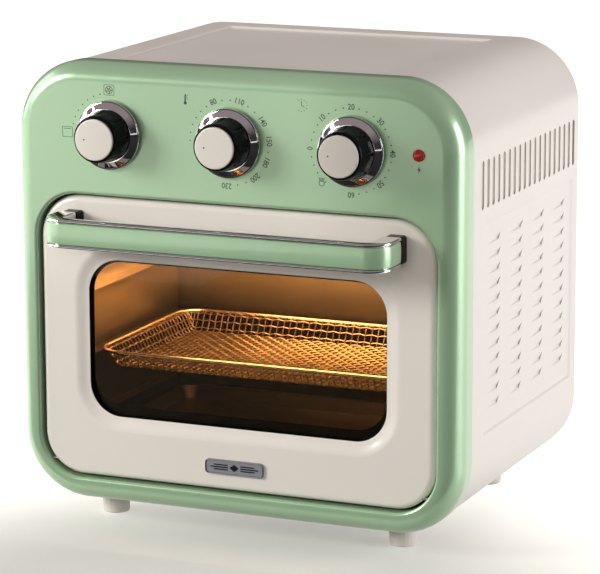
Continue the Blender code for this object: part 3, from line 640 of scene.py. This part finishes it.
def bar(middle, x0, z0, x1, z1, width=stroke):
    """Prints a straight line between two places measured from a middle."""
    along = Vector((x1 - x0, z1 - z0)).normalized() * width / 2
    nx, nz = -along.y, along.x
    outline = [(x0 + nx, z0 + nz), (x1 + nx, z1 + nz), (x1 - nx, z1 - nz), (x0 - nx, z0 - nz)]
    prints.append(slab(outline, ink_front, ink_rear, middle))


def closed_line(middle, outline):
    """Prints a closed line inwards from an outline round a middle."""
    inner = [(x * (1 - stroke / math.hypot(x, z)), z * (1 - stroke / math.hypot(x, z))) for x, z in outline]
    edges = ((outline, ink_front), (inner, ink_front), (inner, ink_rear), (outline, ink_rear))
    loops = [[at(middle[0] + x, depth, middle[1] + z) for x, z in edge] for edge, depth in edges]
    prints.append(skin(loops, ring=True))


def ring_place(centre, radius, degrees):
    """A place on a dial, degrees clockwise from the top."""
    angle = math.radians(degrees)
    return centre[0] + radius * math.sin(angle), centre[1] + radius * math.cos(angle)


def dots(centre, radius, places, size=dot_radius, steps=12):
    """Prints dots round a dial at places in degrees."""
    for degrees in places:
        prints.append(disc(*ring_place(centre, radius, degrees), size, ink_front, ink_rear, steps))


def figure(text, centre, degrees):
    """Prints figures whose heads point away from a dial's centre."""
    letters = bpy.data.curves.new("figure", "FONT")
    letters.body = text
    letters.size = figure_size
    letters.align_x = "CENTER"
    letters.align_y = "CENTER"
    letters.extrude = (ink_rear - ink_front) / 2
    letters.resolution_u = 3
    letters.offset = 0.00006
    holder = bpy.data.objects.new("figure", letters)
    scene.collection.objects.link(holder)
    bpy.context.view_layer.update()
    mesh = holder.to_mesh()
    x, z = ring_place(centre, dial_radius + 0.0004, degrees)
    stand = Matrix.Rotation(math.radians(90), 4, "X")
    spin = Matrix.Rotation(math.radians(degrees), 4, "Y")
    narrow = Matrix.Scale(0.9, 4, (1, 0, 0))
    whole = Matrix.Translation(at(x, (ink_front + ink_rear) / 2, z)) @ spin @ stand @ narrow
    points = [whole @ v.co for v in mesh.vertices]
    faces = [tuple(p.vertices) for p in mesh.polygons]
    prints.append((points, faces))
    holder.to_mesh_clear()
    bpy.data.objects.remove(holder)


function_dial, temperature_dial, timer_dial = knob_centres
timer_dial = (timer_dial[0] - 0.0008, timer_dial[1])

# Function dial: seven dots from the oven symbol at nine o'clock to the fan symbol at twelve.
dots(function_dial, 0.0285, [-78 + 10.6 * i for i in range(7)])
oven_symbol = (function_dial[0] - 0.0325, function_dial[1] + 0.0003)
fan_symbol = (function_dial[0] - 0.0002, function_dial[1] + 0.0309)
for symbol in (oven_symbol, fan_symbol):
    closed_line(symbol, rounded_outline(0.0080, 0.0074, 0.0010, 4))
bar(oven_symbol, -0.0026, 0.0022, 0.0026, 0.0022)
here = (0.0, 0.0)
closed_line(fan_symbol, [ring_place(here, 0.0028, 15 * i) for i in range(24)])
for turn in range(0, 360, 72):
    bar(fan_symbol, *ring_place(here, 0.0005, turn), *ring_place(here, 0.0022, turn + 28), 0.0007)

# Temperature dial: figures by the marks, dots between, and a thermometer before the start.
marks_at = {80: -23, 110: 15, 140: 57, 150: 84, 180: 113, 200: 140, 230: 184}
for celsius, degrees in marks_at.items():
    figure(str(celsius), temperature_dial, degrees)
dots(temperature_dial, dial_radius, (-90, -79, -68, -57, -46, -35, -10, 2, 29, 41, 99, 155, 168))
bulb = (temperature_dial[0] - 0.0323, temperature_dial[1] + 0.0252)
prints.append(disc(*bulb, 0.0011, ink_front, ink_rear, 16))
bar(bulb, 0.0, 0.0, 0.0, 0.0060, 0.0010)
for level in (0.0028, 0.0041, 0.0054):
    bar(bulb, 0.0009, level, 0.0020, level, 0.0003)

# Timer dial: every ten minutes in figures, three dots between, a clock's hands before the start,
# and an open hand for the setting that stays on.
for minutes in range(0, 70, 10):
    figure(str(minutes), timer_dial, -90 + 4.5 * minutes)
dots(timer_dial, dial_radius, [-90 + 45 * i + 11.25 * k for i in range(8) if i != 6 for k in (1, 2, 3)])
clock = (timer_dial[0] - 0.0357, timer_dial[1] + 0.0285)
bar(clock, 0.0, 0.0, 0.0, 0.0030)
bar(clock, 0.0, 0.0, 0.0022, -0.0012)
dots(clock, 0.0040, [30 * i for i in range(12) if i not in (8, 9, 10)], 0.00032, 8)
palm = (timer_dial[0] - 0.0212, timer_dial[1] - 0.0232)
closed_line(palm, rounded_outline(0.0040, 0.0036, 0.0014, 4))
for i in range(4):
    x = -0.0015 + 0.0010 * i
    bar(palm, x, 0.0018, x - 0.0002 + 0.00016 * i, 0.0040, 0.0005)
bar(palm, 0.0018, 0.0002, 0.0034, 0.0018, 0.0005)

# Lightning bolt under the lamp.
spark = (lens_centre[0], lens_centre[1] - 0.0096)
zigzag = [(0.0008, 0.0030), (-0.0012, -0.0003), (0.0001, -0.0003), (-0.0008, -0.0030)]
zigzag += [(0.0013, 0.0005), (0.0001, 0.0005)]
prints.append(slab(zigzag, ink_front, ink_rear, spark))

scales = make_object("printed_scales", *together(prints), ink)
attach(scales, "oven")


# ---------------------------------------------------------------- Door
# A pressed steel door in cream enamel: rounded edge, and a dished surround that falls to the glass.
# The same stove enamel as the frame in warm white, glossier than the casing's powder.
door_enamel = mottled(
    "cream_stove_enamel", "#e3ddd5", "#e8e2da", 83.33, 3.0, (0.20, 0.25), (0.3, 0.7), ripple,
    IOR=1.52, Coat_Weight=0.4, Coat_Roughness=0.06,
)

door_front = door_low.y - frame_low.y
door_back = door_high.y - frame_low.y
door_edge = 0.0045
door_wall = 0.0010
window_width, window_height = 0.2233, 0.1120
window_centre = 0.1183
window_radius = 0.0238
dish_width = 0.0100
dish_depth = 0.0024


def window_loop(grow, depth):
    """The window's outline, grown by grow."""
    return outline_at(window_width, window_height, window_radius, grow, depth, window_centre)


loops = [door_loop(0.0, door_back)]
for a in quarter(10):
    loops.append(door_loop(-door_edge * (1 - math.cos(a)), door_front + door_edge * (1 - math.sin(a))))
loops += [door_loop(-door_edge - 0.0004, door_front), window_loop(dish_width + 0.0006, door_front)]
dish_steps = 10
for i in range(dish_steps + 1):
    share = i / dish_steps
    loops.append(window_loop(dish_width * (1 - share), door_front + dish_depth * smooth(share)))
loops += nested(
    window_loop, (-0.0003, door_front + dish_depth + 0.0002), (0.0, door_front + dish_depth + door_wall),
    (dish_width + 0.002, door_front + door_wall + 0.0002),
)
loops += nested(
    door_loop, (-door_edge - 0.0003, door_front + door_wall), (-door_wall, door_front + door_edge),
    (-door_wall, door_back),
)
door = make_object("door_panel", *skin(loops, ring=True), door_enamel)
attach(door, "door")
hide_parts("door_skin")

# A black silicone edging runs round the door's rim inside the gap, and keeps it from rattling.
edging_front, edging_rear = 0.0082, 0.0120
loops = nested(
    door_loop, (-0.0006, edging_front), (0.0004, edging_front + 0.0002), (0.0005, edging_front + 0.0010),
    (0.0004, edging_rear), (-0.0006, edging_rear),
)
edging = make_object("door_edging", *skin(loops, ring=True), joint_rubber)
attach(edging, "door")

# Toughened soda-lime glass, bronze-tinted, so that the cavity behind it looks dark and warm. Its IOR
# is under the plain 1.52, for the little that a coated pane mirrors.
pane_glass, tree, place = new_material("toughened_glass")
haze = add(tree, "TexNoise", {"Vector": place, "Scale": 22.0, "Detail": 4.0})
tone = add(tree, "MapRange", {"Value": haze.outputs["Fac"], "To Min": 0.01, "To Max": 0.05})
finish(
    tree, Base_Color=linear("#cdb99e"), Roughness=tone.outputs["Result"], IOR=1.25, Transmission_Weight=1.0
)
pane_low, pane_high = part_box("door_glass")
pane_front = pane_low.y - frame_low.y
pane_rear = pane_high.y - frame_low.y
seam = 0.0004
loops = nested(
    window_loop, (0.007 - seam, pane_front), (0.007, pane_front + seam), (0.007, pane_rear - seam),
    (0.007 - seam, pane_rear),
)
pane = make_object("window_pane", *skin(loops), pane_glass)
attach(pane, "door")
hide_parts("door_glass")

# Black ceramic frit fired on the back of the pane round its edge, wider along the bottom.
frit = mottled("black_ceramic_frit", "#040404", "#090808", 0.4, Specular_IOR_Level=0.02)
frit_top, frit_bottom = 0.0022, 0.0075


def frit_loop(inner, depth):
    """The frit's outer edge, or its inner edge with the wide bottom band."""
    if not inner:
        return window_loop(0.0064, depth)
    height = window_height - frit_top - frit_bottom
    outline = rounded_outline(window_width - 2 * frit_top, height, window_radius - frit_top, corner_steps)
    lift = (frit_bottom - frit_top) / 2
    return [at(x, depth, window_centre + lift + z) for x, z in outline]


frit_rear = pane_rear + 0.00012
band_faces = skin([
    frit_loop(False, pane_rear + 0.00002), frit_loop(True, pane_rear + 0.00002),
    frit_loop(True, frit_rear), frit_loop(False, frit_rear),
], ring=True)
frit_band = make_object("window_frit", *band_faces, frit)
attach(frit_band, "door")


# ---------------------------------------------------------------- Door handle
# A flat steel strap, chrome-plated, bent back at both ends, with a sage enamelled strip let into
# its front between two rolled rims, on a black moulded foot at each end.
# Bright chrome over nickel: mirror-like, faintly blue, with fine wipe marks.
chrome = mottled("bright_chrome_plate", "#dcdcde", "#e6e6e8", 6.25, 5.0, (0.03, 0.09), Metallic=1.0)

bar_low, bar_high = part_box("handle_bar")
handle_half = bar_high.x
handle_reach = frame_low.y - bar_low.y
handle_end = bar_high.y - frame_low.y
handle_middle = (bar_low.z + bar_high.z) / 2 - frame_low.z
handle_tall = bar_high.z - bar_low.z
handle_thick = 0.0080
handle_bend = 0.0160
handle_end_wide = 0.0135
strip_tall = 0.0145
strip_thick = 0.0014
bend_steps = 14


def strap_path(half, front, radius):
    """One face of the strap in plan, from its left end round both bends to its right end."""
    path = [(-half, handle_end), (-half, handle_end - 0.006)]
    for cx, start in ((-half + radius, 180), (half - radius, 270)):
        for i in range(bend_steps + 1):
            angle = math.radians(start + 90 * i / bend_steps)
            path.append((cx + radius * math.cos(angle), front + radius + radius * math.sin(angle)))
    return path + [(half, handle_end - 0.006), (half, handle_end)]


def outer_path(inset):
    """The strap's outside, moved in by inset."""
    return strap_path(handle_half - inset, -handle_reach + inset, handle_bend - inset)


def inner_path(outset):
    """The strap's inside, moved outwards by outset."""
    half = handle_half - handle_end_wide + outset
    return strap_path(half, -handle_reach + handle_thick - outset, 0.0060 + outset)


def swept(section):
    """Sweeps (side, inset, height) section points along the handle and closes both ends."""
    rows = []
    for side, inset, height in section:
        path = outer_path(inset) if side == "out" else inner_path(inset)
        rows.append([at(x, depth, height) for x, depth in path])
    return skin([[row[i] for row in rows] for i in range(len(rows[0]))])


half_tall = handle_tall / 2
half_strip = strip_tall / 2 + 0.0003
rim_round = 0.0011
bead_steps = 8


def bead(lower, upper):
    """Section points up the rounded front of one rim."""
    found = []
    for i in range(bead_steps + 1):
        angle = math.pi * i / bead_steps
        level = (lower + upper) / 2 - (upper - lower) / 2 * math.cos(angle)
        found.append(("out", rim_round * (1 - math.sin(angle)), level))
    return found


section = bead(handle_middle - half_tall, handle_middle - half_strip)
section += [("out", strip_thick + 0.0003, handle_middle - half_strip)]
section += [("out", strip_thick + 0.0003, handle_middle + half_strip)]
section += bead(handle_middle + half_strip, handle_middle + half_tall)
for side, turns in ((1, quarter(5)), (-1, reversed(quarter(5)))):
    for a in turns:
        level = side * (half_tall - rim_round * (1 - math.cos(a)))
        section.append(("in", rim_round * (1 - math.sin(a)), handle_middle + level))
strap = make_object("handle_strap", *swept(section), chrome)
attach(strap, "door")
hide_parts("handle_bar")

strip_low = handle_middle - strip_tall / 2
strip_high = handle_middle + strip_tall / 2
section = [("out", strip_thick, strip_low), ("out", 0.0009, strip_low), ("out", 0.0005, strip_low + 0.0004)]
section += [("out", 0.0002, strip_low + 0.0030), ("out", 0.0001, handle_middle)]
section += [("out", 0.0002, strip_high - 0.0030), ("out", 0.0005, strip_high - 0.0004)]
section += [("out", 0.0009, strip_high), ("out", strip_thick, strip_high)]
strip = make_object("handle_strip", *swept(section), enamel)
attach(strip, "door")
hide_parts("handle_band")

# Black ABS, moulded glossy: deep black with a trace of flow in the surface.
black_abs = mottled(
    "black_abs_moulding", "#0b0b0c", "#141416", 11.11, 3.0, (0.16, 0.26), Specular_IOR_Level=0.08
)


def rounded_block(low, high, radius, steps=4):
    """A block between two corners whose upright corners along Y and front edge are rounded."""
    width, height = high.x - low.x, high.z - low.z
    cx, cz = (high.x + low.x) / 2, (high.z + low.z) / 2
    loops = []
    nose = ((low.y, 0.6), (low.y + radius * 0.25, 0.2), (low.y + radius * 0.7, 0.0), (high.y, 0.0))
    for y, share in nose:
        inset = radius * share
        outline = rounded_outline(width - 2 * inset, height - 2 * inset, radius, steps)
        loops.append([Vector((cx + x, y, cz + z)) for x, z in outline])
    return skin(loops)


for side in ("left", "right"):
    low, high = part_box(f"handle_mount_{side}")
    foot = make_object(f"handle_foot_{side}", *rounded_block(low, high, 0.0024, 8), black_abs)
    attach(foot, "door")
    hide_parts(f"handle_mount_{side}")


# ---------------------------------------------------------------- Control knobs
# Each knob is a turned, chrome-plated skirt with a beaded rim, a black moulded grip with eight
# shallow finger flats that fade out towards the front, and a pressed-in cream cap with a small dot.
def lathe(profile, x, height, steps=96, shape=None):
    """Turns (radius, depth) points in millimetres round an axis. shape can change a radius by its angle."""
    rows = []
    for radius, depth in ((across / 1000, back / 1000) for across, back in profile):
        row = []
        for i in range(steps):
            angle = 2 * math.pi * i / steps
            r = radius if shape is None else shape(radius, depth, angle)
            row.append(at(x + r * math.sin(angle), depth, height + r * math.cos(angle)))
        rows.append(row)
    return skin(rows)


# Cream ABS cap: satin, very lightly textured by the tool.
cream_abs = mottled(
    "cream_abs_moulding", "#ded7ce", "#e3dcd3", 0.4, roughness=0.36, relief=(0.4, 0.1, 0.0001), IOR=1.54
)

flutes = 8
flute_depth = 0.0014


def fluted(radius, depth, angle):
    """Eight flats with a narrow groove between them, deepest at the foot of the grip."""
    turn = (angle * flutes / (2 * math.pi)) % 1.0
    groove = math.exp(-((min(turn, 1 - turn)) / 0.06) ** 2)
    flat = math.sin(math.pi * turn) ** 2
    share = smooth((depth + 0.0225) / 0.0110)
    return radius - share * (flute_depth * groove + 0.0004 * flat)


skirt_profile = [
    (4.5, -1.6), (22.6, -1.4), (23.3, -1.6), (23.7, -2.1), (23.9, -2.7), (23.8, -3.3), (23.5, -3.7),
    (23.1, -3.8), (22.8, -3.8), (22.5, -4.0), (21.2, -4.7), (19.9, -5.4), (18.8, -6.0), (18.4, -6.2),
    (4.5, -6.2),
]
grip_profile = [
    (4.0, -6.4), (17.8, -6.4), (18.2, -6.7), (18.2, -7.4), (17.9, -9.5), (17.3, -14.0), (16.7, -19.0),
    (16.3, -21.4), (16.0, -22.6), (15.5, -23.4), (14.9, -23.6), (14.6, -23.3), (14.6, -22.6),
    (4.0, -22.6),
]
cap_profile = [
    (3.0, -22.9), (14.0, -22.9), (14.2, -23.4), (14.2, -24.2), (14.05, -24.7), (13.7, -24.95),
    (13.0, -25.0), (9.0, -25.12), (4.5, -25.19), (1.0, -25.2),
]
dot_dark = 0.0006
for name, (x, z) in zip(knob_names, knob_centres):
    for part, made_by, solid, material, slot_name, sharp_angle in (
        ("skirt", "plated", lathe(skirt_profile, x, z, 128), chrome, "chrome_plate", 35),
        ("grip", "moulded", lathe(grip_profile, x, z, 192, fluted), black_abs, "black_plastic", 50),
        ("cap", "moulded", lathe(cap_profile, x, z, 96), cream_abs, "cream_plastic", 35),
    ):
        piece = make_object(f"{name}_{part}_{made_by}", *solid, material, sharp_angle)
        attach(piece, f"{name}_knob")
        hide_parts(f"{name}_{part}")
    pointer = make_object(f"{name}_pointer", *disc(x - 0.0072, z, dot_dark, -0.02518, -0.0249, 20), ink)
    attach(pointer, f"{name}_knob")


# ---------------------------------------------------------------- Indicator lamp
# A clear red acrylic lens with a domed, stepped front, clipped into the panel over a neon lamp.
# Red acrylic: glassy, with small prisms moulded behind its face; the glints they give are painted into its
# colour as cells of bright and dark red.
red_acrylic, tree, place = new_material("red_acrylic")
# Painted glints: bright red at the middle of each cell, dark red at its edge.
painted_glint_cells = add(tree, "TexVoronoi", {"Vector": place, "Scale": 900.0})
tone = add(tree, "ValToRGB", {"Fac": painted_glint_cells.outputs["Distance"]}, ("#f03a2a", "#8e120e"))
finish(tree, Base_Color=tone.outputs["Color"], Roughness=0.12, IOR=1.49, Transmission_Weight=0.25)
lens_profile = [
    (0.4, -1.8), (1.8, -1.75), (2.7, -1.55), (3.0, -1.2), (3.2, -1.0), (3.8, -1.1), (4.12, -0.9),
    (4.15, -0.3), (3.2, -0.3), (3.2, 5.0), (0.4, 5.0),
]
lens = make_object("indicator_lens_moulded", *lathe(lens_profile, *lens_centre, 48), red_acrylic)
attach(lens, "oven")
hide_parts("indicator_lens")


# ---------------------------------------------------------------- Badge plate
# A small die-cast plate under the window with a raised rim and a plain ornament of lines and one
# lozenge on a satin field, glued into the door.
# Cast zinc, nickel-plated and toned: soft grey metal, darker in the hollows.
badge_metal = mottled(
    "nickelled_zinc_casting", "#8a8a90", "#b4b4ba", 1.43, 4.0, 0.28, relief=(1.43, 0.15, 0.0001), Metallic=1.0
)
# Satin nickel field between the rims: paler and duller than the casting's edges.
field = mottled("satin_nickel_field", "#83838b", "#9a9aa3", 0.667, 4.0, 0.45, Metallic=0.25)

# Black enamel run into the ornament: deep and glossy, with fine pits.
inlay = mottled("black_enamel_inlay", "#14141a", "#24242c", 0.5, roughness=0.25)
badge_low, badge_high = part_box("badge_plate")
badge_x = (badge_low.x + badge_high.x) / 2
badge_z = (badge_low.z + badge_high.z) / 2 - frame_low.z
badge_wide = badge_high.x - badge_low.x
badge_tall = badge_high.z - badge_low.z
badge_front = badge_low.y - frame_low.y
badge_rear = badge_high.y - frame_low.y


def badge_loop(inset, depth):
    """The plate's outline, moved in by inset."""
    outline = rounded_outline(badge_wide - 2 * inset, badge_tall - 2 * inset, 0.0028 - inset * 0.8, 6)
    return [at(badge_x + x, depth, badge_z + z) for x, z in outline]


ornament_depths = (badge_front + 0.0003, badge_rear - 0.0001)
ornament = []
for side in (-1, 1):
    for level in (-0.0016, 0.0, 0.0016):
        x0, x1 = side * 0.0048, side * (0.0180 - abs(level) * 1.8)
        outline = [(x0, level - 0.0004), (x1, level - 0.0004), (x1, level + 0.0004), (x0, level + 0.0004)]
        ornament.append(slab(outline, *ornament_depths, (badge_x, badge_z)))
lozenge = 0.0026
outline = [(0, lozenge), (lozenge * 1.3, 0), (0, -lozenge), (-lozenge * 1.3, 0)]
ornament.append(slab(outline, *ornament_depths, (badge_x, badge_z)))
marks = make_object("badge_ornament", *together(ornament), inlay)
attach(marks, "door")
rim = nested(
    badge_loop, (0.0, badge_rear), (0.0, badge_front + 0.0005), (0.0002, badge_front + 0.0001),
    (0.0005, badge_front), (0.0008, badge_front + 0.0001), (0.0010, badge_front + 0.0005),
    (0.0010, badge_rear),
)
badge = make_object("badge_casting", *skin(rim, ring=True), badge_metal)
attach(badge, "door")
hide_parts("badge_plate")
field_loops = nested(badge_loop, (0.0010, badge_front + 0.0006), (0.0010, badge_rear - 0.0001))
backing = make_object("badge_field", *skin(field_loops), field)
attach(backing, "door")


# ---------------------------------------------------------------- Cavity
# A folded box of aluminised steel. A shallow panel is pressed into each side wall, and a heater
# under a slotted guard in the roof lights the box amber.
# Aluminised steel: bright, rolled along the depth, a little straw-coloured from heat, and painted near black
# low down: painted shade, darker towards the bottom.
cavity_metal, tree, place = new_material("aluminised_steel")
rolled = add(tree, "Mapping", {"Vector": place, "Scale": (900.0, 30.0, 900.0)})
rolling = add(tree, "TexNoise", {"Vector": rolled.outputs["Vector"], "Scale": 1.0, "Detail": 4.0})
stain = add(tree, "TexNoise", {"Vector": place, "Scale": 18.0, "Detail": 5.0})
clean = add(tree, "ValToRGB", {"Fac": stain.outputs["Fac"]}, ("#8d7f6b", "#b0a593"))
# Painted shade: the metal is near black below about 0.115 m and fades back to its own colour by 0.15 m.
painted_shade_tone = add(tree, "ValToRGB", {"Fac": stain.outputs["Fac"]}, ("#12100e", "#26211d"))
where = add(tree, "SeparateXYZ", {"Vector": place})
painted_shade_fade = add(tree, "MapRange", {"Value": where.outputs["Z"], "From Min": 0.115, "From Max": 0.150})
tone = add(tree, "Mix", {
    0: painted_shade_fade.outputs["Result"], 6: painted_shade_tone.outputs["Color"], 7: clean.outputs["Color"],
}, data_type="RGBA")
gloss = add(tree, "MapRange", {"Value": rolling.outputs["Fac"], "To Min": 0.29, "To Max": 0.44})
relief = add(tree, "Bump", {"Height": rolling.outputs["Fac"], "Strength": 0.15, "Distance": 0.0001})
finish(
    tree, Base_Color=tone.outputs[2], Metallic=0.9, Roughness=gloss.outputs["Result"],
    Normal=relief.outputs["Normal"],
)


def dress(material, *names):
    """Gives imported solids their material."""
    for solid in (nodes[name] for name in names):
        if not solid.material_slots:
            solid.data.materials.append(material)
        for holder in solid.material_slots:
            holder.material = material


dress(cavity_metal, "cavity_liner", "rack_rail_left", "rack_rail_right", "heater_guard", "crumb_tray")
dress(cavity_metal, "fan_blade", "door_inner_frame")

# A shallow panel is pressed into each side wall towards the front, to stiffen it.
wall_half = 0.1312
rib_low, rib_high = (0.032, 0.118), (0.094, 0.196)
rib_rise = 0.0016
for side in (-1, 1):
    loops = []
    for rise, shrink in ((0.0, 0.0), (rib_rise * 0.35, 0.0003), (rib_rise * 0.8, 0.0013), (rib_rise, 0.0028)):
        outline = rounded_outline(
            rib_high[0] - rib_low[0] - 2 * shrink, rib_high[1] - rib_low[1] - 2 * shrink, 0.012 - shrink, 8
        )
        middle_depth = (rib_low[0] + rib_high[0]) / 2
        middle_height = (rib_low[1] + rib_high[1]) / 2
        x = side * (wall_half - 0.0001 - rise)
        loops.append([at(x, middle_depth + u, middle_height + v) for u, v in outline])
    rib = make_object("wall_rib_left" if side < 0 else "wall_rib_right", *skin(loops), cavity_metal)
    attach(rib, "oven")

guard_low, guard_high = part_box("heater_guard")
glow_place = Vector((0.0, (guard_low.y + guard_high.y) / 2, guard_low.z - 0.002))
glow = softbox("cavity_glow", glow_place, glow_place - Vector((0, 0, 1)), 0.19, 0.13, 2.9, "#ffc885")
unlit = bpy.data.collections.new("kept_out_of_the_glow")
unlit.objects.link(table)
glow.light_linking.receiver_collection = unlit
unlit.collection_objects[0].light_linking.link_state = "EXCLUDE"
# Velvet over the window, met only by light on its second bounce, keeps the amber off the table too.
window_edge = window_loop(0.004, pane_front - 0.0008)
blind = make_object("window_blind", window_edge, [tuple(range(len(window_edge)))], velvet)
unseen_by(blind, "camera", "glossy", "transmission", "shadow")


# ---------------------------------------------------------------- Wire basket
# Woven steel mesh folded into a shallow tray and welded to a stout wire rim; plated, and browned
# a little by use. The rim's wire rests on the runners.
basket_steel = mottled("browned_plated_wire", "#5c4f3f", "#8f8069", 16.67, 4.0, (0.29, 0.42), Metallic=1.0)


def wire(path, radius, sides=6, loop=False):
    """A round wire along points, its ends closed unless it is a loop."""
    count = len(path)
    rows = []
    up = Vector((0.0, 0.0, 1.0))
    for i, point in enumerate(path):
        before = path[(i - 1) % count] if loop or i > 0 else path[0]
        after = path[(i + 1) % count] if loop or i < count - 1 else path[-1]
        along = (after - before).normalized()
        across = along.cross(up)
        if across.length < 0.05:
            across = along.cross(Vector((1.0, 0.0, 0.0)) if abs(along.x) < 0.5 else Vector((0.0, 1.0, 0.0)))
        across.normalize()
        other = across.cross(along)
        turns = [2 * math.pi * k / sides for k in range(sides)]
        rows.append([point + (across * math.cos(a) + other * math.sin(a)) * radius for a in turns])
    return skin(rows, ring=loop)


basket_low, basket_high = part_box("wire_basket")
basket_middle = (basket_low + basket_high) / 2
rim_wire = 0.0014
rim_half_x = (basket_high.x - basket_low.x) / 2 - rim_wire
rim_half_y = (basket_high.y - basket_low.y) / 2 - rim_wire
rim_level = basket_high.z - rim_wire
floor_level = basket_low.z + 0.0010
mesh_wire = 0.00045
mesh_pitch = 0.0050
weave = 0.00045
corner_round = 0.020
fall = rim_level - floor_level
lip_run, slope_run = 0.0055, 0.0070


def folded(along, half):
    """Place across and drop below the rim at a distance along the sheet from its middle."""
    slope_length = math.hypot(slope_run, fall)
    flat = half - lip_run - slope_run
    away = abs(along)
    side = 1 if along >= 0 else -1
    if away <= flat:
        return side * away, fall
    if away <= flat + slope_length:
        share = (away - flat) / slope_length
        return side * (flat + slope_run * share), fall * (1 - smooth(share) * 0.5 - share * 0.5)
    return side * min(half, flat + slope_run + away - flat - slope_length), 0.0


def reach_at(across, half_across, half_along):
    """How far along a wire meets the rim's rounded outline, given its place across."""
    past = abs(across) - (half_across - corner_round)
    if past <= 0:
        return half_along
    return half_along - corner_round + math.sqrt(max(0.0, corner_round * corner_round - past * past))


def mesh_wires(half_across, half_along, place_of, phase):
    """All the wires that run one way across the basket."""
    made = []
    extra = math.hypot(slope_run, fall) - slope_run
    rows_half = int((half_across + extra) / mesh_pitch)
    for j in range(-rows_half, rows_half + 1):
        across, across_drop = folded(j * mesh_pitch, half_across)
        if abs(across) > half_across - 0.0012:
            continue
        limit = reach_at(across, half_across, half_along)
        steps = int((half_along + extra) / mesh_pitch * 2)
        path = []
        for k in range(-steps, steps + 1):
            along, along_drop = folded(k * mesh_pitch / 2, half_along)
            wave = phase * weave * math.cos(math.pi * (k / 2 + j))
            path.append((along, rim_level - min(across_drop, along_drop) + wave))
        path = [(limit * (1 if a > 0 else -1), rim_level) if abs(a) > limit else (a, h) for a, h in path]
        kept = [p for i, p in enumerate(path) if i == 0 or abs(p[0] - path[i - 1][0]) > 1e-6]
        made.append(wire([place_of(across, a, h) for a, h in kept], mesh_wire, 5))
    return made


middle_x, middle_y = basket_middle.x, basket_middle.y
wires = mesh_wires(rim_half_x, rim_half_y, lambda c, a, h: Vector((middle_x + c, middle_y + a, h)), 1)
wires += mesh_wires(rim_half_y, rim_half_x, lambda c, a, h: Vector((middle_x + a, middle_y + c, h)), -1)
outline = rounded_outline(2 * rim_half_x, 2 * rim_half_y, corner_round, 10)
rim_path = [Vector((middle_x + x, middle_y + y, rim_level)) for x, y in outline]
basket = make_object("mesh_basket", *together(wires), basket_steel)
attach(basket, "basket")
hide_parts("wire_basket")

# The rim's stout wire is drawn smooth, and painted a brighter straw colour than the mesh: a painted highlight
# for the light it catches.
painted_highlight_wire = mottled("plated_wire_painted_highlight", "#b3a288", "#dacdb8", 22.22, 4.0, 0.24, Metallic=1.0)
# Painted highlight: the rim is the same plated wire as the mesh, only coloured brighter.
rim = make_object("basket_rim", *wire(rim_path, rim_wire, 12, loop=True), painted_highlight_wire)
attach(rim, "basket")


# ---------------------------------------------------------------- Heater, fan and controls
# Inside the casing: galvanised brackets and motor, the sheathed element, phenolic control units.
# Hot-dip galvanised steel: grey, with spangle about 8 mm across.
galvanised, tree, place = new_material("galvanised_steel")
spangle_size = 0.008
spangle = add(tree, "TexVoronoi", {"Vector": place, "Scale": 1 / spangle_size})
tone = add(tree, "ValToRGB", {"Fac": spangle.outputs["Color"]}, ("#9a9c9e", "#bcbec0"))
gloss = add(tree, "MapRange", {"Value": spangle.outputs["Distance"], "To Min": 0.32, "To Max": 0.5})
finish(tree, Base_Color=tone.outputs["Color"], Metallic=1.0, Roughness=gloss.outputs["Result"])
dress(galvanised, "fan_motor", "motor_bracket", "fan_shaft", "control_bracket", "timer_bell", "base_plate")
dress(galvanised, "hinge_pin_left", "hinge_pin_right", "hinge_bracket_left", "hinge_bracket_right")
dress(galvanised, *(f"{name}_spindle" for name in knob_names))

# Zinc-plated screws: bright, faintly blue, with a cast grain.
zinc = mottled("zinc_plated_steel", "#a9adb2", "#c9ccd0", 1.11, roughness=0.3, Metallic=1.0)
dress(zinc, *(f"rear_screw_{level}_{side}" for level in ("lower", "upper") for side in ("left", "right")))
dress(zinc, "handle_screw_left", "handle_screw_right")

# Nickel-alloy element sheath, oxidised to a brown black.
sheath = mottled("oxidised_element_sheath", "#2a2420", "#54483e", 2.86, 5.0, 0.55, Metallic=0.6)
dress(sheath, "heater_coil")

# Phenolic mouldings: brown, matt, with wood-flour flecks.
phenolic = mottled("brown_phenolic", "#5a4128", "#80623f", 0.833, 3.0, 0.6)
dress(phenolic, "mode_switch", "thermostat", "timer_unit")

# Grey silicone seal: matt and slightly dusty.
silicone = mottled("grey_silicone", "#3a3a3a", "#4a4a49", 2.0, 3.0, 0.75)
dress(silicone, "door_gasket")
dress(black_abs, "cord_gland")

# Neon lamp glass, glowing faintly orange.
neon = mottled("neon_lamp_glass", "#c8683a", "#e09060", 3.33, roughness=0.1, Transmission_Weight=0.5)
dress(neon, "indicator_lamp")
dress(powder_coat, "rear_panel")


# ---------------------------------------------------------------- Feet
# Four feet moulded in the same cream ABS as the caps of the knobs, with a rounded tread, pushed
# into the base plate from below.
dress(cream_abs, *(f"foot_{level}_{side}" for level in ("front", "rear") for side in ("left", "right")))
